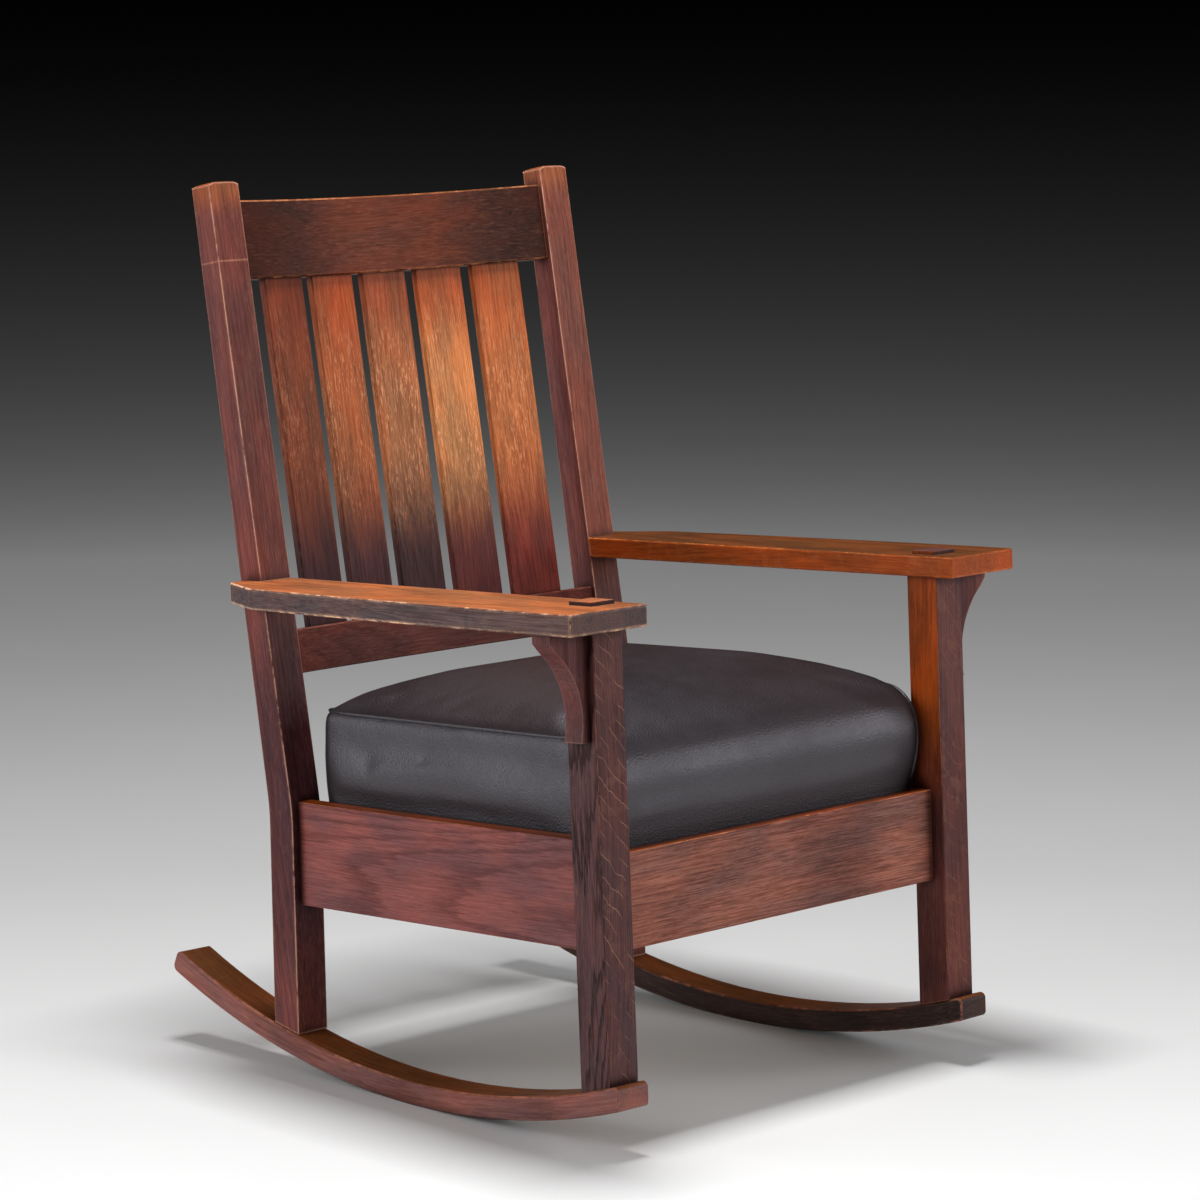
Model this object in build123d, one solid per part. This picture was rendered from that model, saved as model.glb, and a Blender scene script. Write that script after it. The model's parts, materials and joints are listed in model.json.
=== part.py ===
"""Oak rocking chair with a lift-out sprung seat, in millimetres.

The frame is drawn square to its front legs: X to the right, Y to the back, Z up, with
Y = 0 on the front faces of the front legs and Z = 0 where those faces meet the rockers.
At the end every piece leans back together to the balance that the chair takes on a floor.
"""
from build123d import *
from math import asin, atan2, cos, degrees, radians, sin, sqrt, tan
import os

# Weights that settle how far the chair leans back at rest, in kilograms per cubic metre
OAK_DENSITY = 600.0
UPHOLSTERY_DENSITY = 900.0
WEBBING_DENSITY = 300.0
STEEL_DENSITY = 7850.0

# General fits
CLEAR = 0.3
OVERRUN = 40.0
ARRIS = 1.6
PIN_SIDE_COUNT = 8

# Front legs
LEG_WIDTH = 42.5
LEG_DEPTH = 42.0
FRONT_SPREAD = 576.0

# Arms and the tenons of the front legs that stand through them
ARM_TOP = 493.0
ARM_THICK = 23.2
ARM_FRONT_REACH = 29.0
ARM_FRONT_CORNER_SKEW = 2.0
ARM_FRONT_INNER = 237.0
ARM_FRONT_OUTER = 346.0
ARM_WAIST_OUTER = 340.5
ARM_WAIST_SHARE = 0.63
ARM_REAR_OUTER = 330.0
ARM_CLIP_RUN = 68.0
ARM_END_OUTER = 298.0
ARM_PAST_POST = 25.5
ARM_CORNER_RADIUS = 2.5
ARM_SWEEP_RADIUS = 24.0
ARM_EDGE_RADIUS = 2.6
TENON_SHOULDER = 4.5
TENON_PROUD = 5.5
TENON_DOME_RADIUS = 95.0
TENON_EDGE_RADIUS = 1.0

# Corbels under the arms
CORBEL_THICK = 25.0
CORBEL_SETBACK = 9.5
CORBEL_REACH = 52.0
CORBEL_HEIGHT = 115.0
CORBEL_LIP = 10.0
CORBEL_CHAMFER_IN = 9.0
CORBEL_CHAMFER_DOWN = 10.0
CORBEL_TOE = 11.5
CORBEL_WAIST = 21.0
CORBEL_WAIST_DOWN = 46.0
CORBEL_DOWEL = 8.0
CORBEL_DOWEL_LENGTH = 24.0

# Rear posts, bent where the seat joins them
POST_WIDTH = 43.0
REAR_SPREAD = 550.0
POST_REACH = 487.0
POST_BEND_HEIGHT = 240.0
POST_RAKE_DEG = 7.55
POST_SPLAY_DEG = 1.36
POST_FOOT_DEPTH = 40.0
POST_BEND_DEPTH = 38.0
POST_TOP_DEPTH = 29.5
POST_ABOVE_CREST = 17.5
POST_BEND_RADIUS = 230.0
POST_CROWN = 4.5
POST_DOME_RADIUS = 52.0

# Curved rails and slats of the back, measured along the raked posts from the bend
LOWER_RAIL_START = 149.0
LOWER_RAIL_HEIGHT = 49.0
SLAT_SIGHT = 388.0
CREST_HEIGHT = 87.0
BACK_RAIL_THICK = 19.0
BACK_RAIL_SETBACK = 6.0
BACK_BOW = 28.0
BACK_TENON_THICK = 10.0
BACK_TENON_LENGTH = 20.0
BACK_TENON_SHOULDER = 8.0
SLAT_COUNT = 5
SLAT_WIDTH = 66.0
SLAT_GAP = 16.5
SLAT_THICK = 9.0
SLAT_HOUSED = 12.0

# Seat rails
RAIL_THICK = 21.0
FRONT_RAIL_TOP = 233.6
FRONT_RAIL_HEIGHT = 101.4
FRONT_RAIL_SETBACK = 16.6
SIDE_RAIL_TOP = 250.7
SIDE_RAIL_HEIGHT = 114.7
SIDE_RAIL_SETBACK = 10.5
REAR_RAIL_TOP = 233.6
REAR_RAIL_HEIGHT = 98.0
REAR_RAIL_SETBACK = 9.0
RAIL_TENON_THICK = 10.0
RAIL_TENON_SHOULDER = 10.0
CROSS_TENON_LENGTH = 13.0
SIDE_TENON_LENGTH = 19.0

# Corner blocks and cleats that the seat rests on
SEAT_LEDGE = 190.0
BLOCK_HEIGHT = 45.0
BLOCK_ALONG_FRONT = 62.0
BLOCK_ALONG_SIDE = 58.0
CLEAT_WIDTH = 18.0
CLEAT_HEIGHT = 22.0
CLEAT_GAP = 4.0
SCREW_DIAMETER = 4.5
SCREW_HEAD_DIAMETER = 8.5
SCREW_HEAD_HEIGHT = 3.0
SCREW_INTO_RAIL = 14.0
CLEAT_SCREW_COUNT = 2

# Lift-out seat
FRAME_THICK = 20.0
FRAME_MEMBER_WIDTH = 45.0
FRAME_PLAY = 2.0
FRAME_REAR_PLAY = 3.0
STRAP_WIDTH = 50.0
STRAP_THICK = 1.2
STRAPS_ALONG_COUNT = 4
STRAPS_ACROSS_COUNT = 4
STRAP_LAP = 30.0

# Leather cushion
CUSHION_LEG_PLAY = 0.6
CUSHION_HALF_REAR = 239.0
CUSHION_SPREAD_BEHIND_LEGS = 6.5
CUSHION_NECK_RUN = 18.0
CUSHION_SPREAD_RUN = 22.0
CUSHION_SPREAD_RADIUS = 40.0
CUSHION_FRONT_RADIUS = 10.0
CUSHION_REAR_RADIUS = 22.0
CUSHION_SIDE_BULGE = 3.0
CUSHION_FRONT_BULGE = 20.0
CUSHION_REAR_BULGE = 3.0
CUSHION_WELT_HEIGHT = 346.5
CUSHION_CROWN_RISE = 48.0
CUSHION_REST = 0.3
CUSHION_PADDING = 5.0
CUSHION_UNDERSIDE = 3.0

# The cushion's level sections between rail line and welt: their heights as shares, and how
# much of the bulge each has at the sides and in front
SIDE_RISE_SHARES = (0.0, 0.25, 0.535, 0.80, 1.0)
SIDE_BULGE_SHARES = (0.0, 0.75, 1.0, 0.85, 0.5)
FRONT_BULGE_SHARES = (0.25, 0.80, 1.0, 0.60, -0.25)

# The crown's level sections above the welt, as shares of the crown's rise and of half the
# cushion's depth, and how far the front has rolled back
CROWN_RISE_SHARES = (0.175, 0.37, 0.585, 0.80, 0.925, 1.0)
CROWN_INSET_SHARES = (0.05, 0.145, 0.29, 0.46, 0.63, 0.80)
CROWN_ROLL_SHARES = (0.5, 1.0, 1.0, 1.0, 1.0, 1.0)
SPRING_ROOF_LEVEL_COUNT = 4

# Rockers, flat bars bent to one radius and toed in behind
ROCKER_RADIUS = 1027.0
ROCKER_THICK = 25.5
ROCKER_WIDTH = 44.5
ROCKER_LOW_POINT = 261.0
ROCKER_SIDE_STEP = 4.0
ROCKER_TOE_DEG = 1.575
ROCKER_STUB = 15.5
ROCKER_PAST_POST = 210.5
ROCKER_TAIL_CORNER = 8.0
ROCKER_STUB_CORNER = 6.0

# Screws up through the rockers
LAG_DIAMETER = 8.0
LAG_HEAD_DIAMETER = 15.0
LAG_HEAD_HEIGHT = 6.0
LAG_COUNTERBORE = 9.0
LAG_SPANNER_PLAY = 1.5
LAG_LENGTH = 62.0


def block(x, y, z):
    """A box between two limits on each axis."""
    size = [high - low for low, high in (x, y, z)]
    middle = [(high + low) / 2 for low, high in (x, y, z)]
    return Pos(*middle) * Box(*size)


def plan_board(points, low, high):
    """A board sawn to a plan outline, between two heights."""
    return extrude(Plane.XY.offset(low) * make_face(Polyline(*points, close=True)), amount=high - low)


def side_board(points, low, high):
    """A board sawn to a side outline in Y and Z, between two X places."""
    return extrude(Plane.YZ.offset(low) * make_face(Polyline(*points, close=True)), amount=high - low)


def pin(start, end, diameter):
    """A round pin between two points."""
    axis = Vector(*end) - Vector(*start)
    on_start = (Align.CENTER, Align.CENTER, Align.MIN)
    return Plane(origin=start, z_dir=axis) * Cylinder(diameter / 2, axis.length, align=on_start)


def hidden_pin(start, end, diameter):
    """A pin inside the wood, or its hole, with flats in place of a round."""
    axis = Vector(*end) - Vector(*start)
    outline = Plane(origin=start, z_dir=axis) * RegularPolygon(diameter / 2, PIN_SIDE_COUNT)
    return extrude(outline, amount=axis.length)


def crossed_arch(x, y, top, radius):
    """Two round bars that cross under a point: their common part has a softly pillowed top."""
    bar = Cylinder(radius, 2 * radius)
    return Pos(x, y, top - radius) * ((Rot(X=90) * bar) & (Rot(Y=90) * bar))


def corners_at(face, point):
    """The corners of a face that lie on a point."""
    return [corner for corner in face.vertices() if (Vector(*corner) - Vector(*point)).length < CLEAR]


def mirrored(shape):
    return mirror(shape, about=Plane.YZ)


def single(shape):
    """The one solid of a shape, or the shape as it is if it holds several."""
    solids = shape.solids()
    return solids[0] if len(solids) == 1 else shape


# Rocker

ROCKER_TOP_RADIUS = ROCKER_RADIUS - ROCKER_THICK
ROCKER_CENTRE_Z = sqrt(ROCKER_TOP_RADIUS ** 2 - ROCKER_LOW_POINT ** 2)
ROCKER_OUTER = FRONT_SPREAD / 2 + ROCKER_SIDE_STEP
ROCKER_TAIL = POST_REACH + ROCKER_PAST_POST


def arc_point(radius, y):
    return (y, ROCKER_CENTRE_Z - sqrt(radius ** 2 - (y - ROCKER_LOW_POINT) ** 2))


def toed(shape):
    """Turn a shape drawn square about the rocker's front outer corner."""
    corner = Pos(ROCKER_OUTER, 0, 0)
    return corner * Rot(Z=ROCKER_TOE_DEG) * Pos(-ROCKER_OUTER, 0, 0) * shape


def rocker_blank():
    """The bent bar on the right side, before its screw holes."""
    tail_turn = asin((ROCKER_TAIL - ROCKER_LOW_POINT) / ROCKER_TOP_RADIUS)
    tail_top = arc_point(ROCKER_TOP_RADIUS, ROCKER_TAIL)
    tail_low = arc_point(ROCKER_RADIUS, ROCKER_LOW_POINT + ROCKER_RADIUS * sin(tail_turn))
    stub_top = arc_point(ROCKER_TOP_RADIUS, -ROCKER_STUB)
    stub_low = arc_point(ROCKER_RADIUS, -ROCKER_STUB)
    outline = [
        ThreePointArc(stub_top, arc_point(ROCKER_TOP_RADIUS, ROCKER_LOW_POINT), tail_top),
        Line(tail_top, tail_low),
        ThreePointArc(tail_low, arc_point(ROCKER_RADIUS, ROCKER_LOW_POINT), stub_low),
        Line(stub_low, stub_top),
    ]
    face = make_face(outline)
    ends = face.vertices().sort_by(Axis.X)
    face = fillet(ends[:2], ROCKER_STUB_CORNER)
    ends = face.vertices().sort_by(Axis.X)
    face = fillet(ends[-2:], ROCKER_TAIL_CORNER)
    bar = extrude(Plane.YZ.offset(ROCKER_OUTER - ROCKER_WIDTH) * face, amount=ROCKER_WIDTH)
    sides = bar.faces().sort_by(Axis.X)
    return toed(chamfer(sides[0].edges() + sides[-1].edges(), ARRIS))


def above_rocker(shape):
    """Cut a leg's foot to the rocker's upper curve."""
    bore = Pos(ROCKER_OUTER, ROCKER_LOW_POINT, ROCKER_CENTRE_Z) * Rot(Y=90) * Cylinder(
        ROCKER_TOP_RADIUS, FRONT_SPREAD)
    return shape & toed(bore)


# Rear post and the raked frame of the back

FRONT_CLEAR_HALF = FRONT_SPREAD / 2 - LEG_WIDTH
REAR_CLEAR_HALF = REAR_SPREAD / 2 - POST_WIDTH
RAKE = radians(POST_RAKE_DEG)
SPLAY = radians(POST_SPLAY_DEG)
SLAT_START = LOWER_RAIL_START + LOWER_RAIL_HEIGHT
CREST_START = SLAT_START + SLAT_SIGHT
CREST_TOP = CREST_START + CREST_HEIGHT
POST_TOP = CREST_TOP + POST_ABOVE_CREST


def raked(shape):
    """Place a shape drawn with Z along the raked posts and Y = 0 on their front faces."""
    return Pos(0, POST_REACH, POST_BEND_HEIGHT) * Rot(X=-POST_RAKE_DEG) * shape


def raked_point(y, z):
    return (POST_REACH + y * cos(RAKE) + z * sin(RAKE), POST_BEND_HEIGHT - y * sin(RAKE) + z * cos(RAKE))


def post_front(z):
    """Y of the post's front face at a height below the bend."""
    return POST_REACH + (POST_BEND_HEIGHT - z) * tan(SPLAY)


def post_blank():
    """The right rear post before its mortises."""
    foot = -ROCKER_THICK - OVERRUN
    half_turn = (RAKE + SPLAY) / 2
    bend_drop = POST_BEND_DEPTH * sin(half_turn) ** 2
    bend_back = (POST_REACH + POST_BEND_DEPTH, POST_BEND_HEIGHT + bend_drop)
    top = POST_TOP + POST_CROWN
    points = [
        (post_front(foot), foot),
        (POST_REACH, POST_BEND_HEIGHT),
        raked_point(0, top),
        raked_point(POST_TOP_DEPTH, top),
        bend_back,
        (post_front(foot) + POST_FOOT_DEPTH, foot),
    ]
    post = side_board(points, REAR_CLEAR_HALF, REAR_SPREAD / 2)
    bends = post.edges().filter_by(Axis.X).sort_by(
        lambda edge: abs(edge.center().Z - POST_BEND_HEIGHT))[:2]
    post = fillet(bends, POST_BEND_RADIUS)
    dome_x = REAR_SPREAD / 2 - POST_WIDTH / 2
    dome = crossed_arch(dome_x, POST_TOP_DEPTH / 2, top, POST_DOME_RADIUS)
    shaft = block((0, REAR_SPREAD), (-REAR_SPREAD, REAR_SPREAD), (-POST_TOP, POST_TOP - POST_CROWN))
    post = post & raked(dome + shaft)
    uprights = [edge for edge in post.edges() if edge.bounding_box().size.Z > POST_BEND_HEIGHT / 2]
    post = fillet(uprights, ARRIS)
    return above_rocker(post)


# Curved rails of the back

def bow_radius():
    return (REAR_CLEAR_HALF ** 2 + BACK_BOW ** 2) / (2 * BACK_BOW)


def bow_centre():
    """Y of the bow's centre in the raked frame, in front of the back."""
    return BACK_RAIL_SETBACK + BACK_RAIL_THICK / 2 + BACK_BOW - bow_radius()


def bow_point(radius, side):
    """A point of the bow in plan, at its middle or at one end."""
    x = side * REAR_CLEAR_HALF
    return (x, bow_centre() + sqrt(radius ** 2 - x ** 2))


def back_rail(start, height):
    """A rail bowed to the back, with a straight tenon on each end."""
    inner = bow_radius() - BACK_RAIL_THICK / 2
    outer = bow_radius() + BACK_RAIL_THICK / 2
    ends = [bow_point(inner, 1), bow_point(outer, 1), bow_point(outer, -1), bow_point(inner, -1)]
    plan = [
        ThreePointArc(ends[3], bow_point(inner, 0), ends[0]),
        Line(ends[0], ends[1]),
        ThreePointArc(ends[1], bow_point(outer, 0), ends[2]),
        Line(ends[2], ends[3]),
    ]
    body = extrude(Plane.XY.offset(start) * make_face(plan), amount=height)
    long_edges = [edge for edge in body.edges() if edge.length > REAR_CLEAR_HALF]
    body = chamfer(long_edges, ARRIS)
    return raked(body) + raked(back_tenons(start, height, 0))


def back_tenons(start, height, grow):
    """The tenons of a back rail, or with some growth the mortises for them."""
    middle = BACK_RAIL_SETBACK + BACK_RAIL_THICK / 2
    inner = REAR_CLEAR_HALF - (BACK_TENON_SHOULDER if not grow else 0)
    tenon = block(
        (inner, REAR_CLEAR_HALF + BACK_TENON_LENGTH + grow),
        (middle - BACK_TENON_THICK / 2 - grow, middle + BACK_TENON_THICK / 2 + grow),
        (start + BACK_TENON_SHOULDER - grow, start + height - BACK_TENON_SHOULDER + grow))
    return tenon + mirrored(tenon)


def slat(number, grow):
    """One slat, let into both rails, or with some growth its housing."""
    pitch = degrees((SLAT_WIDTH + SLAT_GAP) / bow_radius())
    turn = pitch * (number - (SLAT_COUNT - 1) / 2)
    board = Pos(0, bow_radius(), 0) * Box(
        SLAT_WIDTH + 2 * grow, SLAT_THICK + 2 * grow, SLAT_SIGHT + 2 * SLAT_HOUSED + 2 * grow)
    if not grow:
        board = fillet(board.edges().filter_by(Axis.Z), ARRIS)
    middle = SLAT_START + SLAT_SIGHT / 2
    return raked(Pos(0, bow_centre(), middle) * Rot(Z=-turn) * board)


# Seat rails

def side_outer(y):
    """X of the right side rail's outer face."""
    front = FRONT_SPREAD / 2 - SIDE_RAIL_SETBACK
    rear = REAR_SPREAD / 2 - SIDE_RAIL_SETBACK
    return front + (rear - front) * (y - LEG_DEPTH) / (POST_REACH - LEG_DEPTH)


def side_strip(inset, thick, y_from, y_to, low, high):
    """A board along the side rail, so far in from its outer face."""
    points = [
        (side_outer(y_from) - inset, y_from),
        (side_outer(y_to) - inset, y_to),
        (side_outer(y_to) - inset - thick, y_to),
        (side_outer(y_from) - inset - thick, y_from),
    ]
    return plan_board(points, low, high)


def side_tenons(grow):
    inset = (RAIL_THICK - RAIL_TENON_THICK) / 2 - grow
    low = SIDE_RAIL_TOP - SIDE_RAIL_HEIGHT + RAIL_TENON_SHOULDER - grow
    high = SIDE_RAIL_TOP - RAIL_TENON_SHOULDER + grow
    thick = RAIL_TENON_THICK + 2 * grow
    reach = 0 if grow else RAIL_TENON_SHOULDER
    front = side_strip(inset, thick, LEG_DEPTH - SIDE_TENON_LENGTH - grow, LEG_DEPTH + reach, low, high)
    rear = side_strip(inset, thick, POST_REACH - reach, POST_REACH + SIDE_TENON_LENGTH + grow, low, high)
    return front + rear


def side_rail(post):
    low = SIDE_RAIL_TOP - SIDE_RAIL_HEIGHT
    rail = side_strip(0, RAIL_THICK, LEG_DEPTH, POST_REACH + SIDE_TENON_LENGTH, low, SIDE_RAIL_TOP)
    long_edges = [edge for edge in rail.edges() if edge.length > SIDE_RAIL_HEIGHT * 2]
    rail = fillet(long_edges, ARRIS)
    rail = rail.cut(post).solids().sort_by(Axis.Y)[0]
    return rail + side_tenons(0)


def cross_tenons(half, setback, top, height, grow):
    middle = setback + RAIL_THICK / 2
    reach = 0 if grow else CROSS_TENON_LENGTH
    tenon = block(
        (half - reach, half + CROSS_TENON_LENGTH + grow),
        (middle - RAIL_TENON_THICK / 2 - grow, middle + RAIL_TENON_THICK / 2 + grow),
        (top - height + RAIL_TENON_SHOULDER - grow, top - RAIL_TENON_SHOULDER + grow))
    return tenon + mirrored(tenon)


def cross_rail(half, setback, top, height):
    """A rail from side to side, with a tenon on each end."""
    rail = block((-half, half), (setback, setback + RAIL_THICK), (top - height, top))
    rail = fillet(rail.edges().filter_by(Axis.X), ARRIS)
    return rail + cross_tenons(half, setback, top, height, 0)


REAR_RAIL_FRONT = post_front(REAR_RAIL_TOP) + REAR_RAIL_SETBACK
FRONT_RAIL = (FRONT_CLEAR_HALF, FRONT_RAIL_SETBACK, FRONT_RAIL_TOP, FRONT_RAIL_HEIGHT)
REAR_RAIL = (REAR_CLEAR_HALF, REAR_RAIL_FRONT, REAR_RAIL_TOP, REAR_RAIL_HEIGHT)


# Arms

ARM_END_Y = raked_point(0, 0)[0] + (ARM_TOP - POST_BEND_HEIGHT) * tan(RAKE) + ARM_PAST_POST
ARM_REAR_Y = ARM_END_Y - ARM_CLIP_RUN
ARM_WAIST_Y = ARM_WAIST_SHARE * (ARM_REAR_Y + ARM_FRONT_REACH) - ARM_FRONT_REACH


def tenon_limits(grow):
    x = (FRONT_CLEAR_HALF + TENON_SHOULDER - grow, FRONT_SPREAD / 2 - TENON_SHOULDER + grow)
    y = (TENON_SHOULDER - grow, LEG_DEPTH - TENON_SHOULDER + grow)
    return x, y


def arm(post):
    """The right arm: broad in front, swept in behind and notched round the post."""
    front_inner = (ARM_FRONT_INNER, -ARM_FRONT_REACH)
    front_outer = (ARM_FRONT_OUTER, ARM_FRONT_CORNER_SKEW - ARM_FRONT_REACH)
    waist = (ARM_WAIST_OUTER, ARM_WAIST_Y)
    rear_outer = (ARM_REAR_OUTER, ARM_REAR_Y)
    end_outer = (ARM_END_OUTER, ARM_END_Y)
    end_inner = (REAR_CLEAR_HALF, ARM_END_Y)
    outline = [
        Line(front_inner, front_outer),
        ThreePointArc(front_outer, waist, rear_outer),
        Line(rear_outer, end_outer),
        Line(end_outer, end_inner),
        Line(end_inner, front_inner),
    ]
    face = make_face(outline)
    face = fillet(corners_at(face, rear_outer), ARM_SWEEP_RADIUS)
    for corner in (front_inner, front_outer, end_outer):
        face = fillet(corners_at(face, corner), ARM_CORNER_RADIUS)
    board = extrude(Plane.XY.offset(ARM_TOP - ARM_THICK) * face, amount=ARM_THICK)
    board = fillet(board.faces().sort_by(Axis.Z)[-1].edges(), ARM_EDGE_RADIUS)
    board = chamfer(board.faces().sort_by(Axis.Z)[0].edges(), ARRIS)
    board = board.cut(post).solids().sort_by(SortBy.VOLUME)[-1]
    x, y = tenon_limits(CLEAR)
    return board - block(x, y, (ARM_TOP - ARM_THICK - OVERRUN, ARM_TOP + OVERRUN))


# Front leg

def leg_blank():
    """The right front leg, cut to the rocker and with its tenon through the arm."""
    shoulder = ARM_TOP - ARM_THICK
    foot = -ROCKER_THICK - OVERRUN
    shaft = block((FRONT_CLEAR_HALF, FRONT_SPREAD / 2), (0, LEG_DEPTH), (foot, shoulder))
    shaft = fillet(shaft.edges().filter_by(Axis.Z), ARRIS)
    x, y = tenon_limits(0)
    tip = ARM_TOP + TENON_PROUD
    tenon = block(x, y, (shoulder, tip))
    dome = crossed_arch(sum(x) / 2, sum(y) / 2, tip, TENON_DOME_RADIUS)
    tenon = tenon & (dome + block(x, y, (shoulder, ARM_TOP - TENON_PROUD)))
    tenon = fillet(tenon.edges().filter_by(Axis.Z), TENON_EDGE_RADIUS)
    return above_rocker(shaft) + tenon


# Corbel

CORBEL_TOP = ARM_TOP - ARM_THICK
LEG_FACE = FRONT_SPREAD / 2


def corbel():
    """The bracket outside the right leg: a lip, a chamfer and a long hollow curve."""
    reach = LEG_FACE + CORBEL_REACH
    lip = CORBEL_TOP - CORBEL_LIP
    hollow_top = (reach - CORBEL_CHAMFER_IN, lip - CORBEL_CHAMFER_DOWN)
    toe = (LEG_FACE + CORBEL_TOE, CORBEL_TOP - CORBEL_HEIGHT)
    outline = [
        Line((LEG_FACE, CORBEL_TOP), (reach, CORBEL_TOP)),
        Line((reach, CORBEL_TOP), (reach, lip)),
        Line((reach, lip), hollow_top),
        ThreePointArc(hollow_top, (LEG_FACE + CORBEL_WAIST, CORBEL_TOP - CORBEL_WAIST_DOWN), toe),
        Line(toe, (LEG_FACE, toe[1])),
        Line((LEG_FACE, toe[1]), (LEG_FACE, CORBEL_TOP)),
    ]
    face = Plane.XZ.offset(-CORBEL_SETBACK) * make_face(outline)
    return extrude(face, amount=-CORBEL_THICK)


def corbel_dowels():
    """Two dowels that hold the right corbel to its leg."""
    y = CORBEL_SETBACK + CORBEL_THICK / 2
    tall = (CORBEL_TOP - CORBEL_WAIST_DOWN / 2, CORBEL_TOP - CORBEL_WAIST_DOWN)
    into = CORBEL_WAIST / 2
    return [((LEG_FACE - CORBEL_DOWEL_LENGTH + into, y, z), (LEG_FACE + into, y, z)) for z in tall]


# Rocker screws

def lag_places():
    """X and Y of the screws under the right front leg and the right rear post."""
    toe = tan(radians(ROCKER_TOE_DEG))
    places = []
    for y in (LEG_DEPTH / 2, post_front(0) + POST_FOOT_DEPTH / 2):
        places.append((ROCKER_OUTER - ROCKER_WIDTH / 2 - y * toe, y))
    return places


def lag_screw(x, y):
    """A screw with a hexagonal head, turned up through the rocker."""
    seat = arc_point(ROCKER_RADIUS, y)[1] + LAG_COUNTERBORE
    shank = hidden_pin((x, y, seat), (x, y, seat + LAG_LENGTH), LAG_DIAMETER)
    hexagon = Pos(x, y, seat) * RegularPolygon(LAG_HEAD_DIAMETER / 2, 6)
    return shank + extrude(hexagon, amount=-LAG_HEAD_HEIGHT)


def lag_hole(x, y):
    """The bore and counterbore of a screw under the rocker."""
    seat = arc_point(ROCKER_RADIUS, y)[1] + LAG_COUNTERBORE
    bore = hidden_pin((x, y, seat), (x, y, seat + LAG_LENGTH + CLEAR), LAG_DIAMETER + 2 * CLEAR)
    return bore + pin((x, y, seat - OVERRUN), (x, y, seat), LAG_HEAD_DIAMETER + 2 * LAG_SPANNER_PLAY)


# Corner blocks and cleats

def front_block():
    """The right front corner block, fitted round the leg and against both rails."""
    inner = FRONT_RAIL_SETBACK + RAIL_THICK
    along = LEG_DEPTH + BLOCK_ALONG_SIDE
    points = [
        (FRONT_CLEAR_HALF - BLOCK_ALONG_FRONT, inner),
        (FRONT_CLEAR_HALF, inner),
        (FRONT_CLEAR_HALF, LEG_DEPTH),
        (side_outer(LEG_DEPTH) - RAIL_THICK, LEG_DEPTH),
        (side_outer(along) - RAIL_THICK, along),
    ]
    return plan_board(points, SEAT_LEDGE - BLOCK_HEIGHT, SEAT_LEDGE)


def rear_block(post):
    """The right rear corner block, fitted round the post and against both rails."""
    along = POST_REACH - BLOCK_ALONG_SIDE
    points = [
        (REAR_CLEAR_HALF - BLOCK_ALONG_FRONT, REAR_RAIL_FRONT),
        (REAR_CLEAR_HALF, REAR_RAIL_FRONT),
        (side_outer(REAR_RAIL_FRONT) - RAIL_THICK, REAR_RAIL_FRONT),
        (side_outer(along) - RAIL_THICK, along),
    ]
    board = plan_board(points, SEAT_LEDGE - BLOCK_HEIGHT, SEAT_LEDGE)
    return board.cut(post).solids().sort_by(SortBy.VOLUME)[-1]


def side_cleat():
    start = LEG_DEPTH + BLOCK_ALONG_SIDE + CLEAT_GAP
    end = POST_REACH - BLOCK_ALONG_SIDE - CLEAT_GAP
    return side_strip(RAIL_THICK, CLEAT_WIDTH, start, end, SEAT_LEDGE - CLEAT_HEIGHT, SEAT_LEDGE)


def cross_cleat(half, y_from):
    inner = half - BLOCK_ALONG_FRONT - CLEAT_GAP
    heights = (SEAT_LEDGE - CLEAT_HEIGHT, SEAT_LEDGE)
    return block((-inner, inner), (y_from, y_from + CLEAT_WIDTH), heights)


FRONT_CLEAT_Y = FRONT_RAIL_SETBACK + RAIL_THICK
REAR_CLEAT_Y = REAR_RAIL_FRONT - CLEAT_WIDTH


def cleat_screw_lines():
    """Start, end and head depth of every screw that holds a cleat to a cross rail."""
    z = SEAT_LEDGE - CLEAT_HEIGHT / 2
    lines = []
    front = (FRONT_CLEAR_HALF, FRONT_CLEAT_Y, -1)
    rear = (REAR_CLEAR_HALF, REAR_RAIL_FRONT, 1)
    for half, face, way in (front, rear):
        inner = half - BLOCK_ALONG_FRONT - CLEAT_GAP
        for number in range(CLEAT_SCREW_COUNT):
            x = inner * (2 * (number + 0.5) / CLEAT_SCREW_COUNT - 1)
            start = (x, face - way * CLEAT_WIDTH, z)
            end = (x, face + way * SCREW_INTO_RAIL, z)
            lines.append((start, end))
    return lines


def side_screw_lines():
    """The same for the right side cleat, square to the side rail."""
    z = SEAT_LEDGE - CLEAT_HEIGHT / 2
    start = LEG_DEPTH + BLOCK_ALONG_SIDE + CLEAT_GAP
    run = POST_REACH - BLOCK_ALONG_SIDE - CLEAT_GAP - start
    lines = []
    for number in range(CLEAT_SCREW_COUNT):
        y = start + run * (number + 0.5) / CLEAT_SCREW_COUNT
        face = side_outer(y) - RAIL_THICK
        lines.append(((face - CLEAT_WIDTH, y, z), (face + SCREW_INTO_RAIL, y, z)))
    return lines


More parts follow.
